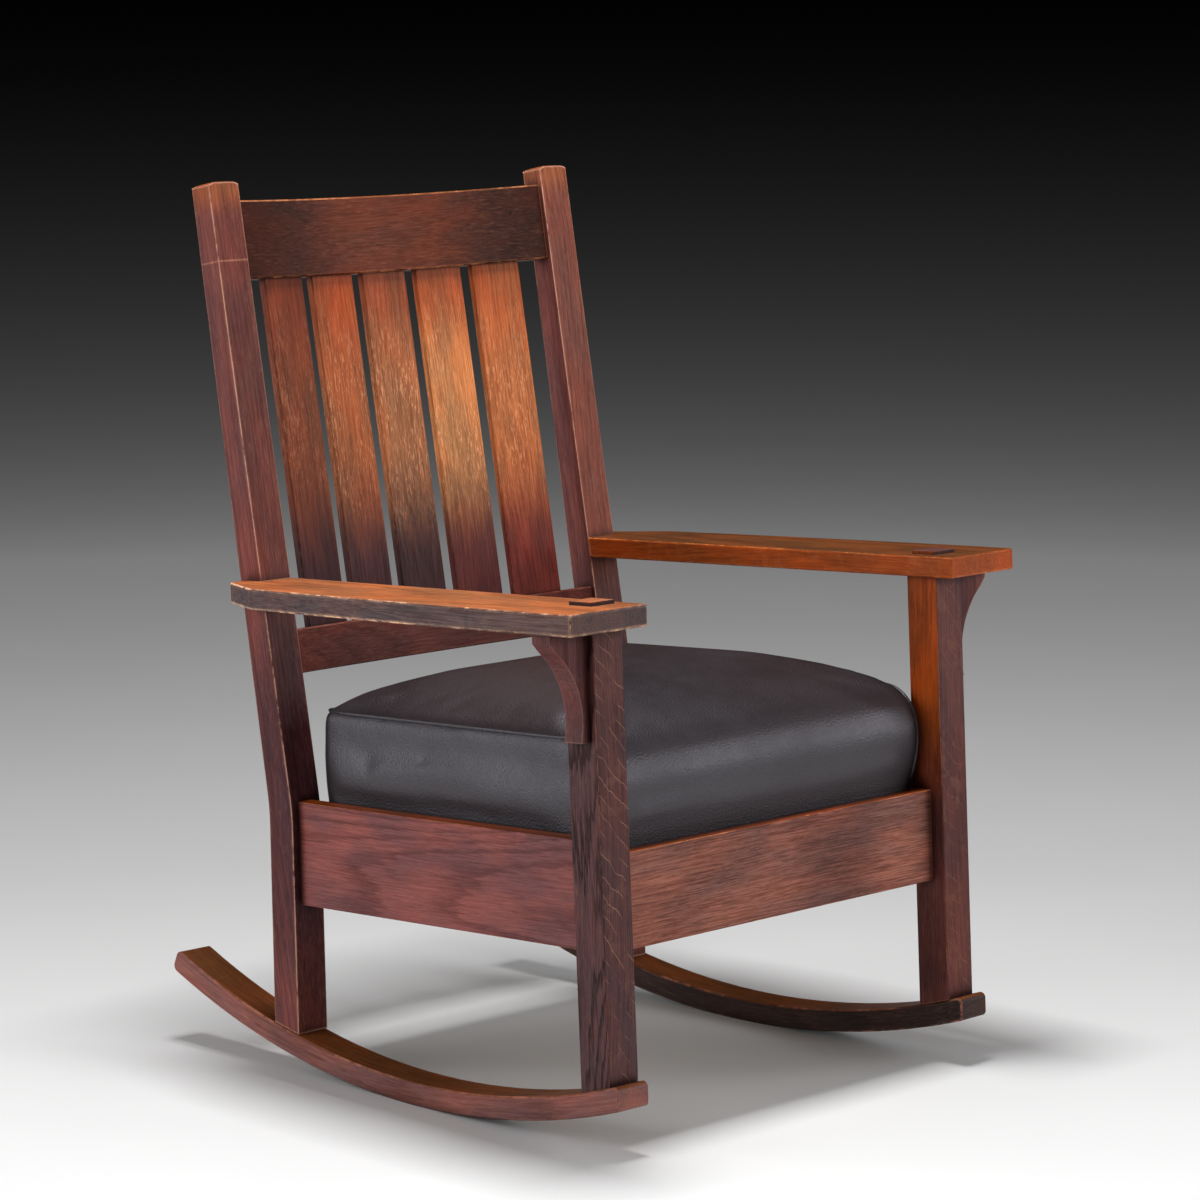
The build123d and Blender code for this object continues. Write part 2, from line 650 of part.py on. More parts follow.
def wood_screw(start, end, grow):
    """A flat-head screw let into the surface at its start, or with some growth its hole."""
    way = (Vector(*end) - Vector(*start)).normalized()
    shank_radius = SCREW_DIAMETER / 2 + grow
    flare = (SCREW_HEAD_DIAMETER - SCREW_DIAMETER) / 2
    if grow:
        top = Vector(*start) - way * SCREW_HEAD_HEIGHT
        head_radius = shank_radius + 2 * flare
    else:
        top = Vector(*start) + way * CLEAR
        head_radius = shank_radius + flare
    neck = Vector(*start) + way * SCREW_HEAD_HEIGHT
    head = loft([
        Plane(origin=top, z_dir=way) * RegularPolygon(head_radius, PIN_SIDE_COUNT),
        Plane(origin=neck, z_dir=way) * RegularPolygon(shank_radius, PIN_SIDE_COUNT),
    ], ruled=True)
    return head + hidden_pin(tuple(neck), tuple(Vector(*end) + way * grow), 2 * shank_radius)


# Lift-out seat

FRAME_FRONT = FRONT_RAIL_SETBACK + RAIL_THICK + FRAME_PLAY
FRAME_REAR = POST_REACH - FRAME_REAR_PLAY
FRAME_HALF = side_outer(FRAME_REAR) - RAIL_THICK - FRAME_PLAY
FRAME_TOP = SEAT_LEDGE + CLEAR + FRAME_THICK


def frame_cross_member(y_from):
    """Front or rear member, its ends halved on the upper face."""
    low = SEAT_LEDGE + CLEAR
    half_way = low + FRAME_THICK / 2
    board = block((-FRAME_HALF, FRAME_HALF), (y_from, y_from + FRAME_MEMBER_WIDTH), (low, FRAME_TOP))
    for side in (-1, 1):
        edge = sorted((side * FRAME_HALF, side * (FRAME_HALF - FRAME_MEMBER_WIDTH)))
        board -= block(edge, (y_from, y_from + FRAME_MEMBER_WIDTH), (half_way, FRAME_TOP))
    return board


def frame_side_member():
    """Right member, its ends halved on the lower face."""
    low = SEAT_LEDGE + CLEAR
    half_way = low + FRAME_THICK / 2
    x = (FRAME_HALF - FRAME_MEMBER_WIDTH, FRAME_HALF)
    board = block(x, (FRAME_FRONT, FRAME_REAR), (low, FRAME_TOP))
    for start in (FRAME_FRONT, FRAME_REAR - FRAME_MEMBER_WIDTH):
        board -= block(x, (start, start + FRAME_MEMBER_WIDTH), (low, half_way))
    return board


def straps(count, length_from, length_to, middle_from, middle_to, low, along_y):
    """A row of flat webbing straps, each laid from one frame member to the other."""
    made = []
    for number in range(count):
        middle = middle_from + (middle_to - middle_from) * (number + 0.5) / count
        run = (length_from, length_to)
        width = (middle - STRAP_WIDTH / 2, middle + STRAP_WIDTH / 2)
        x, y = (width, run) if along_y else (run, width)
        made.append(block(x, y, (low, low + STRAP_THICK)))
    return made


def webbing_along():
    start = FRAME_FRONT + FRAME_MEMBER_WIDTH - STRAP_LAP
    end = FRAME_REAR - FRAME_MEMBER_WIDTH + STRAP_LAP
    half = FRAME_HALF - FRAME_MEMBER_WIDTH
    return straps(STRAPS_ALONG_COUNT, start, end, -half, half, FRAME_TOP, True)


def webbing_across():
    half = FRAME_HALF - FRAME_MEMBER_WIDTH + STRAP_LAP
    start = FRAME_FRONT + FRAME_MEMBER_WIDTH
    end = FRAME_REAR - FRAME_MEMBER_WIDTH
    return straps(STRAPS_ACROSS_COUNT, -half, half, start, end, FRAME_TOP + STRAP_THICK, False)


CUSHION_BOTTOM = FRAME_TOP + 2 * STRAP_THICK + CUSHION_REST


def cushion_outline(height, front, rear, half_front, half_rear, share):
    """One level section: narrow between the legs, widest just behind them, then tapered."""
    neck = max(front, LEG_DEPTH) + share * CUSHION_NECK_RUN
    corners = [
        (half_front, front, CUSHION_FRONT_RADIUS),
        (half_front, neck, CUSHION_SPREAD_RADIUS),
        (half_front + share * CUSHION_SPREAD_BEHIND_LEGS, neck + share * CUSHION_SPREAD_RUN,
         CUSHION_SPREAD_RADIUS),
        (half_rear, rear, CUSHION_REAR_RADIUS),
    ]
    right = [(x, y) for x, y, radius in corners]
    left = [(-x, y) for x, y in reversed(right)]
    face = make_face(Polyline(*right, *left, close=True))
    for x, y, radius in corners:
        face = fillet(corners_at(face, (x, y)) + corners_at(face, (-x, y)), share * radius)
    return Plane.XY.offset(height) * face


def cushion():
    """The leather cover: boxed sides, rolled front and high crown, round the springs' space."""
    half_front = FRONT_CLEAR_HALF - CUSHION_LEG_PLAY
    half_rear = CUSHION_HALF_REAR
    nose = CUSHION_FRONT_BULGE
    bulge = CUSHION_SIDE_BULGE
    welt = CUSHION_WELT_HEIGHT
    rail_line = SIDE_RAIL_TOP + CUSHION_REST
    rear = FRAME_REAR - CUSHION_REAR_BULGE
    inside = half_front - bulge
    past_rail = FRAME_FRONT - FRAME_PLAY + CLEAR
    sections = [
        cushion_outline(CUSHION_BOTTOM, FRAME_FRONT, rear, inside, half_rear, 1),
        cushion_outline(FRONT_RAIL_TOP + CUSHION_REST, past_rail, rear, inside, half_rear, 1),
    ]
    for rise_share, side_share, front_share in zip(SIDE_RISE_SHARES, SIDE_BULGE_SHARES, FRONT_BULGE_SHARES):
        sections.append(cushion_outline(
            rail_line + rise_share * (welt - rail_line), FRAME_FRONT - front_share * nose,
            rear + side_share * CUSHION_REAR_BULGE, inside + side_share * bulge,
            half_rear + side_share * bulge, 1))
    front = FRAME_FRONT - FRONT_BULGE_SHARES[-1] * nose
    half_depth = (rear - front) / 2
    for rise_share, inset_share, roll_share in zip(CROWN_RISE_SHARES, CROWN_INSET_SHARES, CROWN_ROLL_SHARES):
        inset = inset_share * half_depth
        sections.append(cushion_outline(
            welt + rise_share * CUSHION_CROWN_RISE, front + roll_share * nose + inset, rear - inset,
            half_front - inset, half_rear - inset, 1 - inset_share))
    lift = CUSHION_CROWN_RISE * CROWN_RISE_SHARES[SPRING_ROOF_LEVEL_COUNT - 1]
    inset = half_depth * CROWN_INSET_SHARES[SPRING_ROOF_LEVEL_COUNT - 1]
    return loft(sections, ruled=True) - spring_space(front, rear, half_rear, lift, inset)


def spring_space(front, rear, half, lift, inset):
    """The closed space of the springs: a box under a low roof that follows the crown."""
    pad = CUSHION_PADDING
    eaves = CUSHION_WELT_HEIGHT - pad
    heights = (CUSHION_BOTTOM + CUSHION_UNDERSIDE, eaves)
    box = block((pad - half, half - pad), (front + pad, rear - pad), heights)
    length = rear - front - 2 * pad
    middle = (front + rear) / 2
    nose = CUSHION_FRONT_BULGE
    base = Pos(0, middle, eaves) * Rectangle(2 * (half - pad), length)
    top = Pos(0, middle + nose / 2, eaves + lift) * Rectangle(
        2 * (half - pad - inset), length - nose - 2 * inset)
    return box + loft([base, top], ruled=True)


# The whole chair, square to its front legs

def build():
    nodes = {}
    post = post_blank()
    leg = leg_blank()
    rocker = rocker_blank()
    for x, y in lag_places():
        hole = lag_hole(x, y)
        post -= hole
        leg -= hole
        rocker -= hole
    rail = side_rail(post_blank())
    bracket = corbel()
    dowels = []
    for start, end in corbel_dowels():
        hole = hidden_pin(start, end, CORBEL_DOWEL)
        leg -= hole
        bracket -= hole
        dowels += [hole, mirrored(hole)]
    leg -= cross_tenons(*FRONT_RAIL, CLEAR) + side_tenons(CLEAR)
    post -= cross_tenons(*REAR_RAIL, CLEAR)
    post -= side_tenons(CLEAR)
    crest = back_rail(CREST_START, CREST_HEIGHT)
    lower = back_rail(LOWER_RAIL_START, LOWER_RAIL_HEIGHT)
    post -= raked(back_tenons(CREST_START, CREST_HEIGHT, CLEAR))
    post -= raked(back_tenons(LOWER_RAIL_START, LOWER_RAIL_HEIGHT, CLEAR))
    for number in range(SLAT_COUNT):
        housing = slat(number, CLEAR)
        crest -= housing
        lower -= housing
        nodes[f"back_slat_{number + 1}"] = slat(number, 0)
    front = cross_rail(*FRONT_RAIL)
    rear = cross_rail(*REAR_RAIL)
    front_cleat = cross_cleat(FRONT_CLEAR_HALF, FRONT_CLEAT_Y)
    rear_cleat = cross_cleat(REAR_CLEAR_HALF, REAR_CLEAT_Y)
    cleat = side_cleat()
    screws = []
    for start, end in cleat_screw_lines():
        hole = wood_screw(start, end, CLEAR)
        front -= hole
        rear -= hole
        front_cleat -= hole
        rear_cleat -= hole
        screws.append(wood_screw(start, end, 0))
    for start, end in side_screw_lines():
        hole = wood_screw(start, end, CLEAR)
        rail -= hole
        cleat -= hole
        screws += [wood_screw(start, end, 0), mirrored(wood_screw(start, end, 0))]
    pairs = {
        "rocker": rocker,
        "front_leg": leg,
        "rear_post": post,
        "arm": arm(post_blank()),
        "corbel": bracket,
        "side_seat_rail": rail,
        "front_corner_block": front_block(),
        "rear_corner_block": rear_block(post_blank()),
        "side_cleat": cleat,
        "seat_frame_side": frame_side_member(),
    }
    for name, shape in pairs.items():
        nodes[f"{name}_right"] = shape
        nodes[f"{name}_left"] = mirrored(shape)
    nodes["crest_rail"] = crest
    nodes["lower_back_rail"] = lower
    nodes["front_seat_rail"] = front
    nodes["rear_seat_rail"] = rear
    nodes["front_cleat"] = front_cleat
    nodes["rear_cleat"] = rear_cleat
    nodes["seat_frame_front"] = frame_cross_member(FRAME_FRONT)
    nodes["seat_frame_rear"] = frame_cross_member(FRAME_REAR - FRAME_MEMBER_WIDTH)
    nodes["webbing_front_to_back"] = Compound(webbing_along())
    nodes["webbing_side_to_side"] = Compound(webbing_across())
    nodes["seat_cushion"] = cushion()
    nodes["cleat_screws"] = Compound(screws)
    nodes["corbel_dowels"] = Compound(dowels)
    lags = [lag_screw(side * x, y) for x, y in lag_places() for side in (1, -1)]
    nodes["rocker_screws"] = Compound(lags)
    return nodes


def density(name):
    """The density of the piece that a name stands for."""
    if "screws" in name:
        return STEEL_DENSITY
    if "webbing" in name:
        return WEBBING_DENSITY
    return UPHOLSTERY_DENSITY if "cushion" in name else OAK_DENSITY


def balance_lean(nodes):
    """Degrees that the chair leans back until its weight is over the point that touches."""
    weight = 0
    reach = 0
    height = 0
    for name, shape in nodes.items():
        for solid in shape.solids():
            share = solid.volume * density(name)
            centre = solid.center(CenterOf.MASS)
            weight += share
            reach += share * centre.Y
            height += share * centre.Z
    return degrees(atan2(reach / weight - ROCKER_LOW_POINT, ROCKER_CENTRE_Z - height / weight))


def stance(nodes):
    """The move that leans the chair to its balance and stands it on Z = 0, centred in plan."""
    lean = Rot(X=-balance_lean(nodes))
    floor = (lean * Pos(0, ROCKER_LOW_POINT, ROCKER_CENTRE_Z)).position.Z - ROCKER_RADIUS
    boxes = [(lean * shape).bounding_box() for shape in nodes.values()]
    middle = (min(box.min.Y for box in boxes) + max(box.max.Y for box in boxes)) / 2
    return Pos(0, -middle, -floor) * lean


if __name__ == "__main__":
    os.makedirs("parts", exist_ok=True)
    pieces = build()
    place = stance(pieces)
    for name, shape in pieces.items():
        export_step(single(place * shape), f"parts/{name}.step")
        print(name)
    print(f"lean {balance_lean(pieces):.3f} degrees")
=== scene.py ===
# %% [markdown]
# An oak rocking chair with a sprung leather seat. The joined oak frame comes ready made from
# the CAD, one mesh for each board, so this script dresses it: stained oak that follows the
# grain of every board, and a leather cushion modelled anew over its plain CAD solid.

# %% Load the frame
import json
import math

import bmesh
import bpy
from mathutils import Matrix, Vector
from mathutils.bvhtree import BVHTree


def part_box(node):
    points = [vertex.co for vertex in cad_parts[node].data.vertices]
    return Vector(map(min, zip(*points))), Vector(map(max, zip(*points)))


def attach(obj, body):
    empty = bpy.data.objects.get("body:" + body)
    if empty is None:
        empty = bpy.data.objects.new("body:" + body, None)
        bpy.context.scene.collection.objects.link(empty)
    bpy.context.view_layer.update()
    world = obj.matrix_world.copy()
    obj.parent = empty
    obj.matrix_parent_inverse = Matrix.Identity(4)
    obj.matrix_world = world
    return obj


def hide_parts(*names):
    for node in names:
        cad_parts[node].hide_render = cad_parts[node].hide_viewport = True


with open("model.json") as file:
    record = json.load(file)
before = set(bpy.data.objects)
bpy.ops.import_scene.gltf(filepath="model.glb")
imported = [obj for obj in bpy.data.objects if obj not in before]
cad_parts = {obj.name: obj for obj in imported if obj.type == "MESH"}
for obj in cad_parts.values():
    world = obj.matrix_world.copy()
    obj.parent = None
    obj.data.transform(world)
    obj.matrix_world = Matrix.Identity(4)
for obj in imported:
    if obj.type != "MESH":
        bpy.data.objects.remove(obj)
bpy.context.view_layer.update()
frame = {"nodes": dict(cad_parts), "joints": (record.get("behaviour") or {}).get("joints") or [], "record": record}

nodes = frame["nodes"]
print("boards and fittings:", len(nodes))

# %% [markdown]
# The chair is easiest to describe square to its front legs, but it stands leaning back at
# its balance. The seat lifts out along the legs, so the joint's axis gives the lean, and one
# measured point on the arm gives the shift. The camera, the centre of the rockers and the
# welt's points are written in the square frame and moved by this one matrix.

# %% The stance of the chair
lift_axis = next(j for j in frame["joints"] if j["name"] == "seat_lift")["axis"]
lean = math.asin(lift_axis[1])
arm_mark = next(m for m in frame["record"]["mounts"] if m["name"] == "arm_top_left")
ARM_MARK_SQUARE = Vector((-0.287, 0.240, 0.493))
turn = Matrix.Rotation(-lean, 4, "X")
stance = Matrix.Translation(Vector(arm_mark["pos_m"]) - turn @ ARM_MARK_SQUARE) @ turn
print("lean in degrees:", round(math.degrees(lean), 2))

# %% [markdown]
# The photograph was taken from the chair's front left with a long lens, a little above the
# arms. Matching the corners of the boards gave the camera's place and angles in the square
# frame, and the small roll is there because the chair, not the camera, is tilted.

# %% Camera
CAMERA_PLACE = Vector((-3.3782, -3.0864, 0.9847))
CAMERA_AZIMUTH = math.radians(-45.15)
CAMERA_ELEVATION = math.radians(6.33)
CAMERA_ROLL = math.radians(2.1551)
FOCAL_PIXELS = 4371.33
FRAME_PIXELS = 1200

camera = bpy.data.objects.new("camera", bpy.data.cameras.new("camera"))
bpy.context.collection.objects.link(camera)
flat = math.cos(CAMERA_ELEVATION)
backwards = Vector((math.sin(CAMERA_AZIMUTH) * flat, -math.cos(CAMERA_AZIMUTH) * flat,
                    math.sin(CAMERA_ELEVATION)))
level = Vector((0, 0, 1)).cross(backwards).normalized()
upright = backwards.cross(level)
axes = Matrix((level, upright, backwards)).transposed().to_4x4()
rolled = axes @ Matrix.Rotation(-CAMERA_ROLL, 4, "Z")
camera.matrix_world = stance @ Matrix.Translation(CAMERA_PLACE) @ rolled
camera.data.lens = FOCAL_PIXELS / FRAME_PIXELS * camera.data.sensor_width
camera.data.clip_end = 400
bpy.context.scene.camera = camera
bpy.context.scene.view_settings.view_transform = "Standard"
print("lens in millimetres:", round(camera.data.lens, 1))

# %% [markdown]
# Materials are made of nodes, and most of the script's lines would go into wiring them. A
# few helpers keep that short: one places a node and wires or fills its sockets, and the
# others do a sum, mix two colours, draw a noise out along the grain or turn a value into a
# soft mask.

# %% Helpers for nodes
def colour(red, green, blue):
    """A colour in screen values from 0 to 255, as the linear light that a shader takes."""
    linear = []
    for part in (red, green, blue):
        share = part / 255
        linear.append(share / 12.92 if share <= 0.04045 else ((share + 0.055) / 1.055) ** 2.4)
    return (*linear, 1)


def fill(tree, node, sockets):
    """Wires or fills input sockets of a node."""
    for name, value in sockets.items():
        if isinstance(value, bpy.types.NodeSocket):
            tree.links.new(value, node.inputs[name])
        else:
            node.inputs[name].default_value = value
    return node


def put(tree, kind, sockets, **settings):
    """Places a shader node, with its settings and its input sockets."""
    node = tree.nodes.new("ShaderNode" + kind)
    for name, value in settings.items():
        setattr(node, name, value)
    return fill(tree, node, sockets)


def calc(tree, operation, first, second=0):
    return put(tree, "Math", {0: first, 1: second}, operation=operation).outputs[0]


def vector_calc(tree, operation, first, second):
    node = put(tree, "VectorMath", {0: first, 1: second}, operation=operation)
    return node.outputs["Value" if operation in ("LENGTH", "DOT_PRODUCT") else "Vector"]


def mix(tree, factor, first, second, blend="MIX"):
    """Mixes two colours; the factor is the share of the second."""
    sockets = {0: factor, 6: first, 7: second}
    return put(tree, "Mix", sockets, data_type="RGBA", blend_type=blend).outputs[2]


def tinted(tree, base, tint):
    """A colour multiplied by a tint."""
    return mix(tree, 1.0, base, tint, "MULTIPLY")


def soft_step(tree, value, low, high, at_low=0, at_high=1):
    """Runs smoothly from at_low to at_high while the value runs from low to high."""
    sockets = {"Value": value, "From Min": low, "From Max": high,
               "To Min": at_low, "To Max": at_high}
    return put(tree, "MapRange", sockets, interpolation_type="SMOOTHSTEP").outputs[0]


def noise(tree, vector, scale, detail=2.0, roughness=0.5):
    sockets = {"Vector": vector, "Scale": scale, "Detail": detail, "Roughness": roughness}
    return put(tree, "TexNoise", sockets).outputs[0]


def grain_noise(tree, vector, stretch, detail=2.0, roughness=0.5):
    """Noise with a scale of its own on each axis, so that it can run with the grain."""
    return noise(tree, vector_calc(tree, "MULTIPLY", vector, stretch), 1.0, detail, roughness)


def sway(tree, vector, stretch, detail, reach):
    """A small shift of place, up to half of reach each way, from the colours of a noise."""
    stretched = vector_calc(tree, "MULTIPLY", vector, stretch)
    sockets = {"Vector": stretched, "Scale": 1.0, "Detail": detail}
    field = put(tree, "TexNoise", sockets).outputs["Color"]
    centred = vector_calc(tree, "SUBTRACT", field, (0.5, 0.5, 0.5))
    return vector_calc(tree, "MULTIPLY", centred, reach)


def new_group(name, inputs, outputs):
    """A node group, its input sockets and the node that takes its outputs."""
    tree = bpy.data.node_groups.new(name, "ShaderNodeTree")
    for way, sockets in (("INPUT", inputs), ("OUTPUT", outputs)):
        for socket_name, (kind, value) in sockets.items():
            socket = tree.interface.new_socket(socket_name, in_out=way,
                                               socket_type="NodeSocket" + kind)
            socket.default_value = value
    return tree, tree.nodes.new("NodeGroupInput").outputs, tree.nodes.new("NodeGroupOutput")


def use_group(tree, group, sockets):
    return fill(tree, put(tree, "Group", {}, node_tree=group), sockets).outputs


def new_material(name):
    material = bpy.data.materials.new(name)
    material.use_nodes = True
    tree = material.node_tree
    return material, tree, tree.nodes["Principled BSDF"]


def own_place(tree):
    """The place on an object, in metres from the world's origin."""
    return put(tree, "TexCoord", {}).outputs["Object"]


def own_facing(tree):
    """The way a face looks."""
    return put(tree, "NewGeometry", {}).outputs["Normal"]


def dress(piece, material):
    """Gives an object one material in place of what it had."""
    piece.data.materials.clear()
    piece.data.materials.append(material)


print("node helpers ready")

# %% [markdown]
# The chair stands on a pale studio floor that runs back into a dark room, as in the photograph. One large disc
# does it, and its colour is painted light: a painted pool of light round the chair, greyer behind it, and painted
# darkness that falls away with the distance. The world is dark where it is seen straight or in a reflection, and
# pale where it lights the oak, so that light stays even.

# %% Floor with painted light, and room
FLOOR_RADIUS = 250.0
PAINTED_POOL_RADIUS = 4.2
PAINTED_FALLOFF_POWER = 1.5
PALE_FLOOR = colour(236, 236, 236)
GREY_FLOOR = colour(190, 190, 190)
DARK_FLOOR = colour(3, 3, 3)
INWARD = (0.709, 0.705, 0)
GREY_FROM, GREY_TO = -0.9, 1.1
MOTTLE_SCALE, MOTTLE = 3.0, 0.05
ROOM_LIGHT = 0.27
ROOM_COLOUR = colour(255, 255, 255)

floor_mesh = bmesh.new()
bmesh.ops.create_circle(floor_mesh, cap_ends=True, segments=96, radius=FLOOR_RADIUS)
floor_data = bpy.data.meshes.new("floor")
floor_mesh.to_mesh(floor_data)
floor_mesh.free()
floor = bpy.data.objects.new("floor", floor_data)
bpy.context.collection.objects.link(floor)

floor_material, tree, shader = new_material("floor_paint")
# The floor's colour is painted light: a pale pool round the chair, greyer behind it, fading to painted darkness
# with the distance.
place = own_place(tree)
distance = vector_calc(tree, "LENGTH", place, (0, 0, 0))
painted_light_pool = calc(tree, "POWER", calc(tree, "DIVIDE", PAINTED_POOL_RADIUS, distance), PAINTED_FALLOFF_POWER)
painted_light_pool = calc(tree, "MINIMUM", painted_light_pool, 1.0)
depth = vector_calc(tree, "DOT_PRODUCT", place, INWARD)
pale = mix(tree, soft_step(tree, depth, GREY_FROM, GREY_TO), PALE_FLOOR, GREY_FLOOR)
mottled = calc(tree, "MULTIPLY", noise(tree, place, MOTTLE_SCALE), MOTTLE)
pale = mix(tree, mottled, pale, DARK_FLOOR)
tree.links.new(mix(tree, painted_light_pool, DARK_FLOOR, pale), shader.inputs["Base Color"])
shader.inputs["Roughness"].default_value = 0.65
dress(floor, floor_material)

world = bpy.data.worlds.new("room")
bpy.context.scene.world = world
world.use_nodes = True
tree = world.node_tree
paths = put(tree, "LightPath", {}).outputs
straight = calc(tree, "MAXIMUM", paths["Is Camera Ray"], paths["Is Transmission Ray"])
straight = calc(tree, "MAXIMUM", straight, paths["Is Glossy Ray"])
look = mix(tree, straight, ROOM_COLOUR, DARK_FLOOR)
strength = put(tree, "Mix", {0: straight, 2: ROOM_LIGHT, 3: 1.0}, data_type="FLOAT").outputs[0]
background = tree.nodes["Background"]
tree.links.new(look, background.inputs["Color"])
tree.links.new(strength, background.inputs["Strength"])
print("floor and room made")

# %% [markdown]
# Soft light needs large lamps. One hangs over the chair, brightens the arms and the seat,
# and draws the soft shadow under it. One panel stands at the chair's left, a little behind
# it, and lights its left sides. The other stands in front to the right, and gives the front
# of the leather its sheen.

# %% Lamps
CHAIR_MIDDLE = (0, 0, 0.5)


def soft_lamp(name, place, size, power):
    """A rectangular lamp aimed at the middle of the chair."""
    lamp = bpy.data.objects.new(name, bpy.data.lights.new(name, "AREA"))
    bpy.context.collection.objects.link(lamp)
    lamp.data.shape = "RECTANGLE"
    lamp.data.size, lamp.data.size_y = size
    lamp.data.energy = power
    lamp.location = place
    away = Vector(place) - Vector(CHAIR_MIDDLE)
    lamp.rotation_euler = away.to_track_quat("Z", "Y").to_euler()


soft_lamp("overhead", (-0.1, 0.0, 3.2), (0.7, 0.7), 90)
soft_lamp("left_panel", (-2.9, 1.7, 1.2), (2.2, 2.0), 60)
soft_lamp("right_panel", (2.3, -2.6, 1.35), (2.6, 1.9), 58)
print("three lamps placed")

# %% [markdown]
# Oak is a bundle of long fibres in yearly rings, and what a face shows depends on how it
# was sawn. A solid pattern gives every face of a board its right look at once. The group
# takes a place on the board as X along the grain, Y along the rings and Z across them. Rings
# are bands round a pith that lies beside the board, pores are dark streaks crowded at the
# start of each ring, and rays are thin pale sheets across Y, which show as flecks or slanting
# lines on the sawn quarter. The stain itself varies slowly from red to mauve, which is most
# of what the eye sees. A "stretch" is the scale of a noise on each of the three axes.

# %% Oak figure
WANDER_STRETCH, WANDER_REACH = (2.2, 12, 12), (0.0, 0.016, 0.034)
RAGGED_STRETCH, RAGGED_REACH = (22, 260, 260), (0.0, 0.0016, 0.0030)
FIBRE_STRETCH = (14, 620, 620)
PORE_STRETCH = (75, 1000, 1000)
FIELD_STRETCH = (14, 30, 30)
CLOUD_STRETCH = (8, 24, 24)
RIPPLE_STRETCH, RIPPLE_REACH = (14, 20, 34), 0.028
PITH_DISTANCE = 0.14
RAY_SPACING = 0.021
RAY_SLANT = (1.0, 0.0, 1.3)
DEEP_FIBRE, BRIGHT_FIBRE = (0.60, 0.50, 0.46, 1), (1.40, 1.50, 1.44, 1)
RED_CLOUD, MAUVE_CLOUD = (1.22, 1.08, 0.96, 1), (0.78, 0.86, 0.92, 1)
EARLY_WOOD = (0.34, 0.26, 0.26, 1)
OPEN_PORE = (0.38, 0.32, 0.32, 1)
FLECK_LIFT, FLECK_TAN = (1.9, 1.75, 1.6, 1), colour(222, 168, 128)

oak_figure, given, taken = new_group("oak_figure", {
    "Vector": ("Vector", (0, 0, 0)),
    "Color": ("Color", colour(135, 84, 78)),
    "Ring Width": ("Float", 0.004),
    "Ring Strength": ("Float", 0.5),
    "Streaks": ("Float", 0.6),
    "Fleck Scale": ("Vector", (70, 500, 60)),
    "Fleck Amount": ("Float", 0.1),
    "Ray Amount": ("Float", 0.0),
    "Pore Amount": ("Float", 0.6),
}, {
    "Color": ("Color", (1, 1, 1, 1)),
    "Height": ("Float", 0.0),
    "Figure": ("Float", 0.0),
})
tree = oak_figure
place = given["Vector"]
bend = vector_calc(tree, "ADD", sway(tree, place, WANDER_STRETCH, 0.5, WANDER_REACH),
                   sway(tree, place, RAGGED_STRETCH, 2.0, RAGGED_REACH))
bent = vector_calc(tree, "ADD", place, bend)
parts = put(tree, "SeparateXYZ", {"Vector": bent}).outputs
from_pith = calc(tree, "ADD", parts["Z"], PITH_DISTANCE)
ring_radius = calc(tree, "SQRT", calc(tree, "ADD", calc(tree, "MULTIPLY", from_pith, from_pith),
                                      calc(tree, "MULTIPLY", parts["Y"], parts["Y"])))
ring = calc(tree, "FRACT", calc(tree, "DIVIDE", ring_radius, given["Ring Width"]))
early = calc(tree, "MAXIMUM", soft_step(tree, ring, 0.04, 0.45, 1, 0),
             soft_step(tree, ring, 0.9, 1.0))
early = calc(tree, "MULTIPLY", early, given["Ring Strength"])

fibre = grain_noise(tree, bent, FIBRE_STRETCH, 3.0, 0.65)
pores = grain_noise(tree, bent, PORE_STRETCH, 2.0, 0.65)
pore_mask = calc(tree, "MULTIPLY", soft_step(tree, pores, 0.52, 0.60),
                 calc(tree, "ADD", calc(tree, "MULTIPLY", early, 0.6), 0.4))
pore_mask = calc(tree, "MULTIPLY", pore_mask, given["Pore Amount"])

flecks = grain_noise(tree, bent, given["Fleck Scale"], 2.0, 0.6)
fleck_field = grain_noise(tree, place, FIELD_STRETCH)
fleck_mask = calc(tree, "MULTIPLY", soft_step(tree, flecks, 0.54, 0.62),
                  soft_step(tree, fleck_field, 0.38, 0.62, 0.35, 1))
fleck_mask = calc(tree, "MULTIPLY", fleck_mask, given["Fleck Amount"])
ripple = grain_noise(tree, place, RIPPLE_STRETCH, 1.0)
slant = calc(tree, "ADD", vector_calc(tree, "DOT_PRODUCT", bent, RAY_SLANT),
             calc(tree, "MULTIPLY", ripple, RIPPLE_REACH))
ray = calc(tree, "PINGPONG", calc(tree, "DIVIDE", slant, RAY_SPACING), 0.5)
ray_mask = calc(tree, "MULTIPLY", soft_step(tree, ray, 0.0, 0.045, 1, 0),
                soft_step(tree, fleck_field, 0.42, 0.52))
ray_mask = calc(tree, "MULTIPLY", ray_mask, given["Ray Amount"])
pale = calc(tree, "MAXIMUM", fleck_mask, ray_mask)

tone = calc(tree, "SUBTRACT", soft_step(tree, fibre, 0.34, 0.66), 0.5)
tone = calc(tree, "ADD", calc(tree, "MULTIPLY", tone, given["Streaks"]), 0.5)
stained = mix(tree, tone, tinted(tree, given["Color"], DEEP_FIBRE),
              tinted(tree, given["Color"], BRIGHT_FIBRE))
cloud = grain_noise(tree, place, CLOUD_STRETCH, 3.0, 0.6)
shade = mix(tree, soft_step(tree, cloud, 0.34, 0.66), RED_CLOUD, MAUVE_CLOUD)
stained = tinted(tree, stained, shade)
stained = mix(tree, early, stained, tinted(tree, stained, EARLY_WOOD))
fleck_colour = mix(tree, 0.5, tinted(tree, given["Color"], FLECK_LIFT), FLECK_TAN)
stained = mix(tree, pale, stained, fleck_colour)
stained = mix(tree, pore_mask, stained, tinted(tree, stained, OPEN_PORE))
